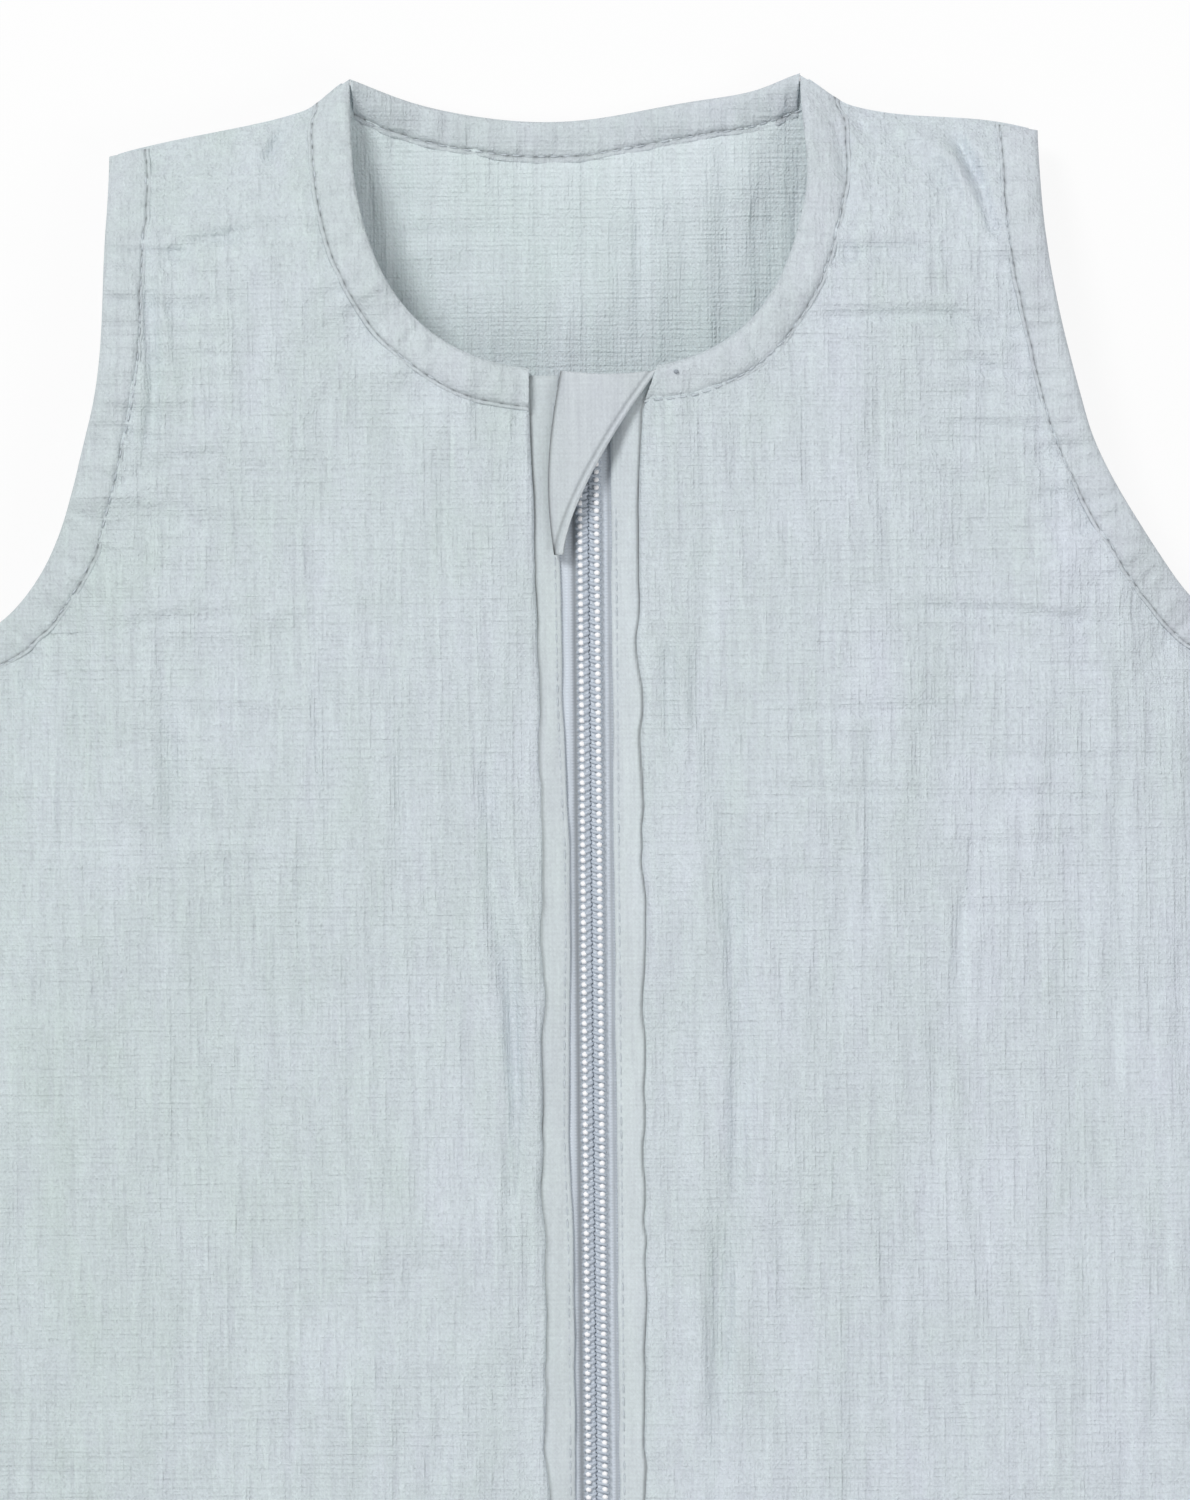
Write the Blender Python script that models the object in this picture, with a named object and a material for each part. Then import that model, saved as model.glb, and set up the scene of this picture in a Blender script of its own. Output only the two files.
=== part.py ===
"""Sleeveless baby sleeping bag of double-gauze muslin with a front zip, lying on its back.

The bag lies on z = 0 with the neck towards +Y, the front towards +Z and the zip along x = 0.
Its shell is a pillow of two cloth layers, open at the neck and at both armholes.
"""

import math

import bmesh
import bpy
from mathutils import Vector

MM = 0.001

# The bag's plan. The size is that of a bag for a child of 7 to 12 months.
LENGTH = 800 * MM
CHEST_WIDTH = 304 * MM
HEM_WIDTH = 430 * MM
HEM_CORNER_R = 100 * MM
SHOULDER_WIDTH = 222 * MM
SHOULDER_DROP = 15 * MM
ARMHOLE_DEPTH = 117 * MM
ARMHOLE_POWER = 1.85
NECK_WIDTH = 113 * MM
FRONT_NECK_DEPTH = 70 * MM
BACK_NECK_DEPTH = 10 * MM
NECK_POWER = 2.7

# The bag's thickness, as it lies with some air inside.
LOFT = 30 * MM
SEAM_HEIGHT = 12 * MM
SIDE_FALL = 5 * MM
FRONT_ROUNDING = 45 * MM
BACK_ROUNDING = 25 * MM

# Cloth and binding. CLEAR is the gap between neighbouring pieces.
CLOTH = 1.0 * MM
CLEAR = 0.3 * MM
BINDING_WIDTH = 10 * MM
BINDING_CLOTH = 1.0 * MM

# The zip, from its placket down to its teeth.
PLACKET_WIDTH = 24 * MM
FACING_GAP = 12.4 * MM
FACING_TUCK = 4 * MM
TAPE_WIDTH = 9 * MM
TAPE_CLOTH = 0.5 * MM
TAPE_GAP = 2.4 * MM
CHAIN_WIDTH = 6 * MM
COIL_HEIGHT = 1.8 * MM
TOOTH_PITCH = 1.7 * MM
TOOTH_DEPTH = 1.3 * MM
TEETH_PER_BLOCK = 8
STOP_LENGTH = 3 * MM
STOP_WALL = 0.6 * MM
BOX_LENGTH = 8 * MM
BOX_WALL = 0.7 * MM

# The slider and its tab.
SLIDER_LENGTH = 11.5 * MM
SLIDER_WALL = 0.9 * MM
SLIDER_FLARE = 0.6 * MM
SLIDER_CORNER = 0.8 * MM
DIAMOND_WIDTH = 1.7 * MM
DIAMOND_LENGTH = 4.5 * MM
BAIL_WIDTH = 1.6 * MM
BAIL_WALL = 0.7 * MM
TAB_LENGTH = 22 * MM
TAB_WIDTH = 6 * MM
TAB_THICKNESS = 0.8 * MM

# The garage flap over the top of the zip.
FLAP_LENGTH = 44 * MM
FLAP_LEFT = 9.5 * MM
FLAP_RIGHT = 17 * MM
FLAP_TIP = 3 * MM
FLAP_CLOTH = 1.2 * MM

# Where rows of facets cross the cloth: shares along each edge and across each half.
CORNER_STEPS = [1, 0.8, 0.55, 0.3, 0]
SIDE_STEPS = [0.75, 0.5, 0.28, 0.12]
ARM_STEPS = [0, 0.03, 0.08, 0.15, 0.25, 0.4, 0.56, 0.71, 0.83, 0.92, 0.97, 0.992, 1]
NECK_STEPS = [0, 0.05, 0.12, 0.22, 0.34, 0.47, 0.6, 0.73, 0.88, 1]
BACK_STEPS = [0, 0.03, 0.08, 0.16, 0.35, 0.65, 1]
COLUMNS = [0, 0.35, 0.65, 0.87, 1]
SETTLE = 14 * MM

# Heights that follow from the sizes above.
Y_TOP = LENGTH / 2
Y_BOTTOM = -LENGTH / 2
LINING_IN = CLOTH + CLEAR
STACK = 2 * CLOTH + CLEAR
EDGE_IN = BINDING_CLOTH + CLEAR
FACING_TOP = LOFT - CLOTH - CLEAR
TAPE_TOP = FACING_TOP - CLOTH - CLEAR
TAPE_BOTTOM = TAPE_TOP - TAPE_CLOTH
COIL_BOTTOM = TAPE_TOP + CLEAR
COIL_TOP = COIL_BOTTOM + COIL_HEIGHT
SLIDER_TOP = COIL_TOP + CLEAR + SLIDER_WALL
SLIDER_BOTTOM = TAPE_BOTTOM - CLEAR - SLIDER_WALL
CLIP_TOP = TAPE_TOP + CLEAR + STOP_WALL
CLIP_BOTTOM = TAPE_BOTTOM - CLEAR - STOP_WALL
BAR_SWEEP = math.hypot(TAB_THICKNESS / 2, TAB_THICKNESS / 2)
HINGE_Z = SLIDER_TOP + CLEAR + BAR_SWEEP
BAIL_TOP = HINGE_Z + BAR_SWEEP + CLEAR + BAIL_WALL

# Places along the zip that follow from the sizes above.
X_FOLD = PLACKET_WIDTH / 2
Y_UNDERARM = Y_TOP - SHOULDER_DROP - ARMHOLE_DEPTH
Y_NECK = Y_TOP - FRONT_NECK_DEPTH
BOX_TOP = Y_NECK - 2 * MM
BOX_BOTTOM = BOX_TOP - BOX_LENGTH
STOP_BOTTOM = Y_BOTTOM + max(FRONT_ROUNDING, 0.56 * HEM_CORNER_R) + 3 * MM
STOP_TOP = STOP_BOTTOM + STOP_LENGTH
SLIDER_Y = STOP_TOP + CLEAR + SLIDER_LENGTH / 2
COIL_START = SLIDER_Y + CLEAR
COIL_END = BOX_BOTTOM - CLEAR
FLAP_TOP_Y = Y_NECK - 0.5 * MM
FLAP_AXIS_X = -FLAP_LEFT
FLAP_AXIS_Z = LOFT + CLEAR


def material(name, colour, rough, metal=0.0):
    made = bpy.data.materials.new(name)
    made.use_nodes = True
    shader = made.node_tree.nodes["Principled BSDF"]
    shader.inputs["Base Color"].default_value = (*colour, 1)
    shader.inputs["Roughness"].default_value = rough
    shader.inputs["Metallic"].default_value = metal
    return made


def finish(name, mesh, surface, origin=(0, 0, 0)):
    """Turns a bmesh into a named object whose origin lies on its joint axis."""
    bmesh.ops.translate(mesh, verts=mesh.verts, vec=-Vector(origin))
    bmesh.ops.recalc_face_normals(mesh, faces=mesh.faces)
    if mesh.calc_volume(signed=True) < 0:
        bmesh.ops.reverse_faces(mesh, faces=mesh.faces)
    data = bpy.data.meshes.new(name)
    mesh.to_mesh(data)
    mesh.free()
    made = bpy.data.objects.new(name, data)
    made.location = origin
    data.materials.append(surface)
    bpy.context.scene.collection.objects.link(made)
    return made


def prism(mesh, outline, low, high, axis="Z"):
    """Extrudes an outline. Along Z it is (x, y), along Y it is (x, z), along X it is (y, z)."""
    place = {
        "X": lambda a, b: (low, a, b),
        "Y": lambda a, b: (a, low, b),
        "Z": lambda a, b: (a, b, low),
    }[axis]
    along = {"X": (1, 0, 0), "Y": (0, 1, 0), "Z": (0, 0, 1)}[axis]
    face = mesh.faces.new([mesh.verts.new(place(a, b)) for a, b in outline])
    raised = bmesh.ops.extrude_face_region(mesh, geom=[face])["geom"]
    points = [item for item in raised if isinstance(item, bmesh.types.BMVert)]
    bmesh.ops.translate(mesh, verts=points, vec=Vector(along) * (high - low))


def join(target, others):
    """Joins hidden helper pieces to the target with exact Booleans."""
    for other in others:
        other.hide_render = True
        other.display_type = "WIRE"
        cut = target.modifiers.new(other.name, "BOOLEAN")
        cut.operation = "UNION"
        cut.solver = "EXACT"
        cut.object = other


def smooth(value):
    value = min(max(value, 0.0), 1.0)
    return value * value * (3 - 2 * value)


def mix(a, b, share):
    return a + (b - a) * share


def steps(count):
    return [index / count for index in range(count + 1)]


# Plan curves of the right half, as points (x, y).
def neck_front(turn):
    """The front neck fold, from the shoulder at 0 to the middle at a quarter turn."""
    across = max(math.cos(turn), 0.0) ** (2 / NECK_POWER)
    down = max(math.sin(turn), 0.0) ** (2 / NECK_POWER)
    return Vector((NECK_WIDTH / 2 * across, Y_TOP - FRONT_NECK_DEPTH * down))


def neck_back(share):
    """The back neck fold, from the shoulder at 0 to the middle at 1."""
    x = NECK_WIDTH / 2 * (1 - share)
    dip = 1 - (1 - share) ** 2
    return Vector((x, Y_TOP - BACK_NECK_DEPTH * dip))


def armhole(share):
    """The armhole fold, from the shoulder tip at 0 to the underarm at 1."""
    bulge = 1 - (1 - share**ARMHOLE_POWER) ** (1 / ARMHOLE_POWER)
    x = mix(SHOULDER_WIDTH / 2, CHEST_WIDTH / 2, bulge)
    return Vector((x, Y_TOP - SHOULDER_DROP - ARMHOLE_DEPTH * share))


def side_seam(share):
    """The side seam, from the underarm at 0 to the start of the bottom corner at 1."""
    y = mix(Y_UNDERARM, Y_BOTTOM + HEM_CORNER_R, share)
    return Vector((mix(CHEST_WIDTH / 2, HEM_WIDTH / 2, math.sin(share * math.pi / 2)), y))


def hem_corner(share, inset=0.0):
    """The bottom corner, from the side seam at 0 to the bottom seam at 1."""
    turn = -share * math.pi / 2
    middle = Vector((HEM_WIDTH / 2 - HEM_CORNER_R, Y_BOTTOM + HEM_CORNER_R))
    return middle + (HEM_CORNER_R - inset) * Vector((math.cos(turn), math.sin(turn)))


def shoulder(share):
    """The shoulder seam, from the neck at 0 to the tip at 1."""
    start = Vector((NECK_WIDTH / 2, Y_TOP))
    end = Vector((SHOULDER_WIDTH / 2, Y_TOP - SHOULDER_DROP))
    return start.lerp(end, share)


# Seams that close the right half. The cloth lies to the right of each run.
SEAMS = [
    [shoulder(0), shoulder(1)],
    [side_seam(share) for share in steps(10)]
    + [hem_corner(share) for share in steps(8)[1:]]
    + [Vector((-HEM_CORNER_R, Y_BOTTOM))],
]


def nearest_seam(point):
    """Distance from a point of the right half to the nearest closed seam, and the way from it."""
    best = None
    for line in SEAMS:
        for start, end in zip(line, line[1:]):
            run = end - start
            share = min(max((point - start).dot(run) / run.length_squared, 0), 1)
            away = point - start - run * share
            inward = Vector((run.y, -run.x)).normalized()
            # A point of the curve lies a little outside its chord, and counts as on the seam.
            inside = away.length > 1e-6 and away.dot(inward) > 0
            found = (away.length, away.normalized()) if inside else (max(away.length - MM, 0.0), inward)
            if best is None or found[0] < best[0]:
                best = found
    return best


def settle(point, depth):
    """Moves a point beside a seam inwards, so that deeper layers nest inside outer ones."""
    distance, away = nearest_seam(point)
    return point + away * depth * max(0.0, 1 - distance / SETTLE)


def rise(distance, reach):
    return math.sin(math.pi / 2 * min(max(distance / reach, 0.0), 1.0)) ** 0.8


def front_z(point, depth):
    """Height of the front at this depth below its outer face."""
    crown = LOFT - SIDE_FALL * smooth((point.x - 2 * X_FOLD) / (CHEST_WIDTH / 2 - 2 * X_FOLD))
    low = SEAM_HEIGHT + CLEAR / 2
    share = rise(nearest_seam(point)[0] - depth, FRONT_ROUNDING - depth)
    return low + (crown - depth - low) * share


def edge_lift(point):
    """The back rises by the thickness of its binding beside the open edges."""
    edges = [neck_back(share) for share in steps(10)] + [armhole(share) for share in steps(12)]
    nearest = min((point - edge).length for edge in edges)
    return EDGE_IN * smooth((3.2 * BINDING_WIDTH - nearest) / (1.6 * BINDING_WIDTH))


def back_z(point, depth):
    """Height of the back at this depth above its outer face."""
    high = SEAM_HEIGHT - CLEAR / 2
    low = depth + edge_lift(point)
    share = rise(nearest_seam(point)[0] - depth, BACK_ROUNDING - depth)
    return high - (high - low) * share


def neck_edge(share):
    """The front neck fold from the shoulder at 0 to the folded edge beside the zip at 1."""
    return neck_front(share * math.acos((X_FOLD / (NECK_WIDTH / 2)) ** (NECK_POWER / 2)))


def edge_ways(curve, shares, turn, ends):
    """Points of an open edge, each with its way into the cloth.

    At an end with a seam the way swings round to lie along that seam.
    """
    found = []
    for share in shares:
        step = 1e-4
        ahead = (curve(min(share + step, 1.0)) - curve(max(share - step, 0.0))).normalized()
        inward = turn * Vector((ahead.y, -ahead.x))
        for end, along_seam in zip((share, 1 - share), ends):
            if along_seam is not None:
                inward = along_seam.lerp(inward, smooth(end / 0.3)).normalized()
        found.append((curve(share), inward))
    return found


SEAM_RUN = (shoulder(1) - shoulder(0)).normalized()
SIDE_RUN = (side_seam(0.02) - side_seam(0)).normalized()
NECK_WAYS = edge_ways(neck_edge, NECK_STEPS, -1, (SEAM_RUN, None))
BACK_WAYS = edge_ways(neck_back, BACK_STEPS, -1, (SEAM_RUN, None))
ARM_WAYS = edge_ways(armhole, ARM_STEPS, 1, (-SEAM_RUN, SIDE_RUN))
STRIP = [EDGE_IN + CLEAR, BINDING_WIDTH / 2, BINDING_WIDTH, BINDING_WIDTH + 2 * MM]


def strip_patch(ways):
    return [[place + inward * across for across in STRIP] for place, inward in ways]


def outer_rail():
    """The plan's outer edge from the bottom up to the inner side of the armhole's strip."""
    corner = [hem_corner(share) for share in CORNER_STEPS]
    side = [side_seam(share) for share in SIDE_STEPS]
    return corner + side, [row[-1] for row in reversed(strip_patch(ARM_WAYS))]


def half_patches(ways, near):
    """Patches of points over one half of a panel: the body, the neck strip and the armhole strip."""
    low, arm = outer_rail()
    strip = strip_patch(ways)
    upper = [row[-1] for row in reversed(strip)]
    straight = len(arm) - len(upper)
    start = arm[0].y
    inner = [Vector((near, point.y)) for point in low]
    inner += [Vector((near, mix(start, upper[0].y, i / straight))) for i in range(straight)]
    inner += upper
    body = [[a.lerp(b, share) for share in COLUMNS] for a, b in zip(inner, low + arm)]
    patches = [body, strip, strip_patch(ARM_WAYS)]
    return [[[Vector((max(p.x, near), p.y)) for p in row] for row in patch] for patch in patches]


def layer(name, patches, height, depths, sides, surface):
    """One sheet of cloth between two depths. Patches are welded where they share points."""
    mesh = bmesh.new()
    pairs = {}
    edges = {}
    for side in sides:
        for patch in patches:
            rows = [[weld(mesh, pairs, p, side, height, depths) for p in row] for row in patch]
            for row, after in zip(rows, rows[1:]):
                for i in range(len(row) - 1):
                    ring = (row[i], row[i + 1], after[i + 1], after[i])
                    for level in (0, 1):
                        mesh.faces.new([pair[level] for pair in ring])
                    for a, b in zip(ring, ring[1:] + ring[:1]):
                        key = frozenset((a[0].index, b[0].index))
                        edges.setdefault(key, []).append((a, b))
    for uses in edges.values():
        if len(uses) == 1:
            a, b = uses[0]
            mesh.faces.new((a[0], b[0], b[1], a[1]))
    return finish(name, mesh, surface)


def weld(mesh, pairs, point, side, height, depths):
    """The pair of vertices for one point of the plan, made when it is first met."""
    key = (round(side * point.x * 1e6), round(point.y * 1e6))
    if key not in pairs:
        pair = []
        for depth in depths:
            spot = settle(point, depth)
            pair.append(mesh.verts.new((side * spot.x, spot.y, height(spot, depth))))
            pair[-1].index = 2 * len(pairs) + len(pair)
        pairs[key] = pair
    return pairs[key]


def sweep(name, rings, surface, origin=(0, 0, 0)):
    """Bridges closed rings of points into a capped strip."""
    mesh = bmesh.new()
    loops = [[mesh.verts.new(point) for point in ring] for ring in rings]
    for ring, after in zip(loops, loops[1:]):
        for i in range(len(ring)):
            j = (i + 1) % len(ring)
            mesh.faces.new((ring[i], ring[j], after[j], after[i]))
    mesh.faces.new(loops[0])
    mesh.faces.new(loops[-1])
    return finish(name, mesh, surface, origin)


def bound_ring(place, inward, height, side, sign):
    """One ring of a binding folded round an open edge.

    The ring runs along the outer face, round the fold and along the lining's face. Its inner
    leg narrows beside a seam, where the bag has no room for it.
    """
    def point(across, depth, off):
        spot = settle(place + inward * across, depth)
        return (side * spot.x, spot.y, height(spot, depth) + sign * off)

    gap = nearest_seam(place)[0]
    under = smooth((gap - 5 * MM) / (4 * MM))
    reach = mix(EDGE_IN - CLEAR / 2, BINDING_WIDTH, smooth((gap - 9 * MM) / (7 * MM)))
    middle = (BINDING_CLOTH + reach) / 2
    low = -mix(0, EDGE_IN, under)
    high = low + mix(CLEAR, BINDING_CLOTH, under)
    outer = [(0, EDGE_IN), (BINDING_WIDTH / 2, EDGE_IN), (BINDING_WIDTH, EDGE_IN),
             (BINDING_WIDTH, CLEAR), (BINDING_WIDTH / 2, CLEAR), (BINDING_CLOTH, CLEAR)]
    inner = [(BINDING_CLOTH, high), (middle, high), (reach, high), (reach, low), (0, low)]
    ring = [point(across, 0, off) for across, off in outer]
    return ring + [point(across, STACK, off) for across, off in inner]


def fold_rings(ways, height, side, sign):
    return [bound_ring(place, inward, height, side, sign) for place, inward in ways]


def zip_strip(name, side, near, far, top, thick, surface):
    """A strip beside the zip, this far below the front, running down into the bottom seam."""
    ys = [hem_corner(share).y for share in CORNER_STEPS[:-1]] + [Y_NECK - EDGE_IN]
    patch = [[Vector((x, y)) for x in (near, far)] for y in ys]
    depth = LOFT - top
    return layer(name, [patch], front_z, (depth, depth + thick), (side,), surface)


def coil(name, side, surface):
    """Half of the chain: a rack of pointed teeth that mesh with the other half's."""
    slack = CLEAR / 2 * math.hypot(TOOTH_PITCH / 2, TOOTH_DEPTH) / (TOOTH_PITCH / 2)
    count = int((COIL_END - COIL_START) / TOOTH_PITCH) * 2
    first = 0 if side > 0 else 1
    mesh = bmesh.new()
    levels = []
    for z in (COIL_BOTTOM, COIL_TOP):
        teeth = []
        backs = {}
        for i in range(count + 1):
            reach = -TOOTH_DEPTH / 2 if i % 2 == first else TOOTH_DEPTH / 2
            y = COIL_START + i * TOOTH_PITCH / 2
            teeth.append(mesh.verts.new((side * (reach + slack), y, z)))
            if i % (2 * TEETH_PER_BLOCK) == 0 or i == count:
                backs[i] = mesh.verts.new((side * CHAIN_WIDTH / 2, y, z))
        levels.append((teeth, backs))
    (low, low_back), (high, high_back) = levels
    places = sorted(low_back)
    for start, end in zip(places, places[1:]):
        for teeth, backs in levels:
            mesh.faces.new(teeth[start:end + 1] + [backs[end], backs[start]])
        mesh.faces.new((low_back[start], low_back[end], high_back[end], high_back[start]))
    for i in range(count):
        mesh.faces.new((low[i], low[i + 1], high[i + 1], high[i]))
    for i in (0, count):
        mesh.faces.new((low[i], low_back[i], high_back[i], high[i]))
    return finish(name, mesh, surface)


def clip_outline(side):
    """Section of a clip folded round the inner edge of one tape."""
    near = TAPE_GAP / 2 - CLEAR - STOP_WALL
    inside = TAPE_GAP / 2 - CLEAR
    far = CHAIN_WIDTH / 2
    outline = [
        (near, CLIP_TOP), (far, CLIP_TOP),
        (far, CLIP_TOP - STOP_WALL), (inside, CLIP_TOP - STOP_WALL),
        (inside, CLIP_BOTTOM + STOP_WALL), (far, CLIP_BOTTOM + STOP_WALL),
        (far, CLIP_BOTTOM), (near, CLIP_BOTTOM),
    ]
    return [(side * x, z) for x, z in outline]


def box_outline():
    """Section of the retainer box: a clip on the right tape with a socket for the left pin."""
    far = CHAIN_WIDTH / 2 + CLEAR
    inside = TAPE_GAP / 2 - CLEAR
    wall = TAPE_GAP / 2 - CLEAR - STOP_WALL - CLEAR
    top = CLIP_TOP + CLEAR + BOX_WALL
    bottom = CLIP_BOTTOM - CLEAR - BOX_WALL
    return [
        (-far, top), (far, top),
        (far, TAPE_TOP + CLEAR), (inside, TAPE_TOP + CLEAR),
        (inside, TAPE_BOTTOM - CLEAR), (far, TAPE_BOTTOM - CLEAR),
        (far, bottom), (-far, bottom),
        (-far, bottom + BOX_WALL), (-wall, bottom + BOX_WALL),
        (-wall, top - BOX_WALL), (-far, top - BOX_WALL),
    ]


def block(name, outline, low, high, axis, surface, origin=(0, 0, 0)):
    mesh = bmesh.new()
    prism(mesh, outline, low, high, axis)
    return finish(name, mesh, surface, origin)


def slider_outline(wall):
    """Plan of the slider, inset by a wall. It flares towards its mouth at the lower end."""
    tail = CHAIN_WIDTH / 2 + CLEAR + SLIDER_WALL - wall
    mouth = tail + SLIDER_FLARE
    high = SLIDER_Y + SLIDER_LENGTH / 2
    low = SLIDER_Y - SLIDER_LENGTH / 2
    cut = SLIDER_CORNER
    return [
        (-tail + cut, high), (-tail, high - cut), (-mouth, low + 2 * cut), (-mouth + cut, low),
        (mouth - cut, low), (mouth, low + 2 * cut), (tail, high - cut), (tail - cut, high),
    ]


def slider(surface):
    """Two plates joined by the diamond at the mouth, with side flanges and a bail on top."""
    origin = (0, SLIDER_Y, COIL_TOP)
    roof = COIL_TOP + CLEAR
    floor = TAPE_BOTTOM - CLEAR
    body = block("zip_slider", slider_outline(0), roof, SLIDER_TOP, "Z", surface, origin)
    others = [block("slider_floor", slider_outline(0), SLIDER_BOTTOM, floor, "Z", surface)]
    outside = slider_outline(0)
    inside = slider_outline(SLIDER_WALL)
    for word, a, b in (("left", 1, 2), ("right", 6, 5)):
        flange = [outside[a], outside[b], inside[b], inside[a]]
        others.append(block("slider_flange_" + word, flange, COIL_BOTTOM, roof + SLIDER_WALL / 2,
                            "Z", surface))
    low = SLIDER_Y - SLIDER_LENGTH / 2 + CLEAR
    half = DIAMOND_WIDTH / 2
    diamond = [(0, low), (half, low + DIAMOND_LENGTH / 3), (0, low + DIAMOND_LENGTH),
               (-half, low + DIAMOND_LENGTH / 3)]
    others.append(block("slider_diamond", diamond, SLIDER_BOTTOM + SLIDER_WALL / 2,
                        roof + SLIDER_WALL / 2, "Z", surface))
    room = BAR_SWEEP + CLEAR
    out = room + BAIL_WALL
    foot = SLIDER_TOP - SLIDER_WALL / 2
    cut = BAIL_WALL / 2
    arch = [(-out, foot), (-room, foot), (-room, HINGE_Z + room), (room, HINGE_Z + room),
            (room, foot), (out, foot), (out, BAIL_TOP - cut), (out - cut, BAIL_TOP),
            (cut - out, BAIL_TOP), (-out, BAIL_TOP - cut)]
    arch = [(SLIDER_Y + y, z) for y, z in arch]
    others.append(block("slider_bail", arch, -BAIL_WIDTH / 2, BAIL_WIDTH / 2, "X", surface))
    join(body, others)
    return body


def pull_tab(surface):
    """A flat tab whose cross bar lies under the bail, on the tab's own axis."""
    half = TAB_WIDTH / 2
    thick = TAB_THICKNESS / 2
    tip = [(half * math.cos(turn), -TAB_LENGTH + half + half * math.sin(turn))
           for turn in [-math.pi * share for share in steps(8)]]
    outline = [(-half, thick), (half, thick)] + tip
    outline = [(x, SLIDER_Y + y) for x, y in outline]
    body = block("pull_tab", outline, HINGE_Z - thick, HINGE_Z + thick, "Z", surface,
                 (0, SLIDER_Y, HINGE_Z))
    slot = BAIL_WIDTH / 2 + CLEAR
    eye = math.hypot(BAR_SWEEP + CLEAR + BAIL_WALL, BAIL_TOP - HINGE_Z) + CLEAR
    grip = half / 2
    cuts = []
    for name, wide, low, high in (("tab_eye", slot, -eye, -thick),
                                  ("tab_grip", grip, half - TAB_LENGTH, -TAB_LENGTH / 2)):
        corners = [(-wide, low), (wide, low), (wide, high), (-wide, high)]
        corners = [(x, SLIDER_Y + y) for x, y in corners]
        cuts.append(block(name, corners, HINGE_Z - 2 * thick, HINGE_Z + 2 * thick, "Z", surface))
    join(body, cuts)
    for cut in body.modifiers:
        cut.operation = "DIFFERENCE"
    return body


def flap_under(x):
    """Height of the garage's underside. It arches over the slider and its bail."""
    crest = BAIL_TOP + CLEAR
    clear_half = TAB_WIDTH / 2 + CLEAR
    if x < 0:
        low = FLAP_AXIS_Z
        away = (-x - clear_half) / (FLAP_LEFT - clear_half)
    else:
        low = LOFT + EDGE_IN + CLEAR
        away = (x - clear_half) / (FLAP_RIGHT - clear_half)
    return mix(crest, low, smooth(away))


def garage(surface):
    """The chin guard: sewn along its left edge, with a free diagonal edge on the right."""
    rings = []
    for down in steps(7):
        y = FLAP_TOP_Y - FLAP_LENGTH * down
        right = mix(FLAP_TIP - FLAP_LEFT, FLAP_RIGHT, (1 - down) ** 1.35)
        xs = [mix(-FLAP_LEFT, right, share) for share in steps(10)]
        under = [(x, y, flap_under(x)) for x in xs]
        rings.append(under + [(x, y, z + FLAP_CLOTH) for x, y, z in reversed(under)])
    return sweep("zip_garage", rings, surface, (FLAP_AXIS_X, FLAP_TOP_Y, FLAP_AXIS_Z))


bpy.ops.object.select_all(action="DESELECT")
for old in list(bpy.data.objects):
    bpy.data.objects.remove(old)

muslin = material("muslin", (0.57, 0.64, 0.66), 0.95)
lining_cloth = material("lining_muslin", (0.55, 0.62, 0.64), 0.95)
binding_cloth = material("binding_muslin", (0.53, 0.6, 0.62), 0.95)
tape_cloth = material("zip_tape", (0.45, 0.48, 0.53), 0.9)
coil_plastic = material("coil_nylon", (0.6, 0.65, 0.68), 0.45)
stop_plastic = material("zip_plastic", (0.5, 0.55, 0.58), 0.4)
slider_metal = material("slider_metal", (0.55, 0.58, 0.6), 0.35, 0.9)

LINING_FOLD = X_FOLD + FACING_TUCK + CLEAR
outer_depths = (0, CLOTH)
lining_depths = (LINING_IN, STACK)
for side, word in ((-1, "left"), (1, "right")):
    layer("front_panel_" + word, half_patches(NECK_WAYS, X_FOLD), front_z, outer_depths,
          (side,), muslin)
    layer("front_lining_" + word, half_patches(NECK_WAYS, LINING_FOLD), front_z, lining_depths,
          (side,), lining_cloth)
    sweep("neck_binding_front_" + word, fold_rings(NECK_WAYS, front_z, side, 1), binding_cloth)
    for face, height, sign in (("front", front_z, 1), ("back", back_z, -1)):
        sweep(f"armhole_binding_{face}_{word}", fold_rings(ARM_WAYS, height, side, sign),
              binding_cloth)
layer("back_panel", half_patches(BACK_WAYS, 0), back_z, outer_depths, (-1, 1), muslin)
layer("back_lining", half_patches(BACK_WAYS, 0), back_z, lining_depths, (-1, 1), lining_cloth)
halves = [fold_rings(BACK_WAYS, back_z, side, -1) for side in (-1, 1)]
sweep("neck_binding_back", halves[0] + halves[1][-2::-1], binding_cloth)

for side, word in ((-1, "left"), (1, "right")):
    zip_strip("zip_facing_" + word, side, FACING_GAP / 2, X_FOLD + FACING_TUCK, FACING_TOP,
              CLOTH, muslin)
    zip_strip("zip_tape_" + word, side, TAPE_GAP / 2, TAPE_GAP / 2 + TAPE_WIDTH, TAPE_TOP,
              TAPE_CLOTH, tape_cloth)
    coil("zip_coil_" + word, side, coil_plastic)
    block("zip_end_stop_" + word, clip_outline(side), STOP_BOTTOM, STOP_TOP, "Y", stop_plastic)
block("zip_insertion_pin", clip_outline(-1), BOX_BOTTOM, BOX_TOP, "Y", stop_plastic)
block("zip_retainer_box", box_outline(), BOX_BOTTOM, BOX_TOP, "Y", stop_plastic)

slider(slider_metal)
pull_tab(slider_metal)
garage(muslin)
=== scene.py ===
# %% [markdown]
# A sleeveless baby sleeping bag of crinkled muslin, laid on its back and seen from straight above.
# The solid model gives the shape and the moving parts. This script gives it cloth, thread and zip
# that look like the real things.

# %% Load the frame
import math

import bmesh
import bpy
import numpy as np
from mathutils import Matrix, Vector


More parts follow.
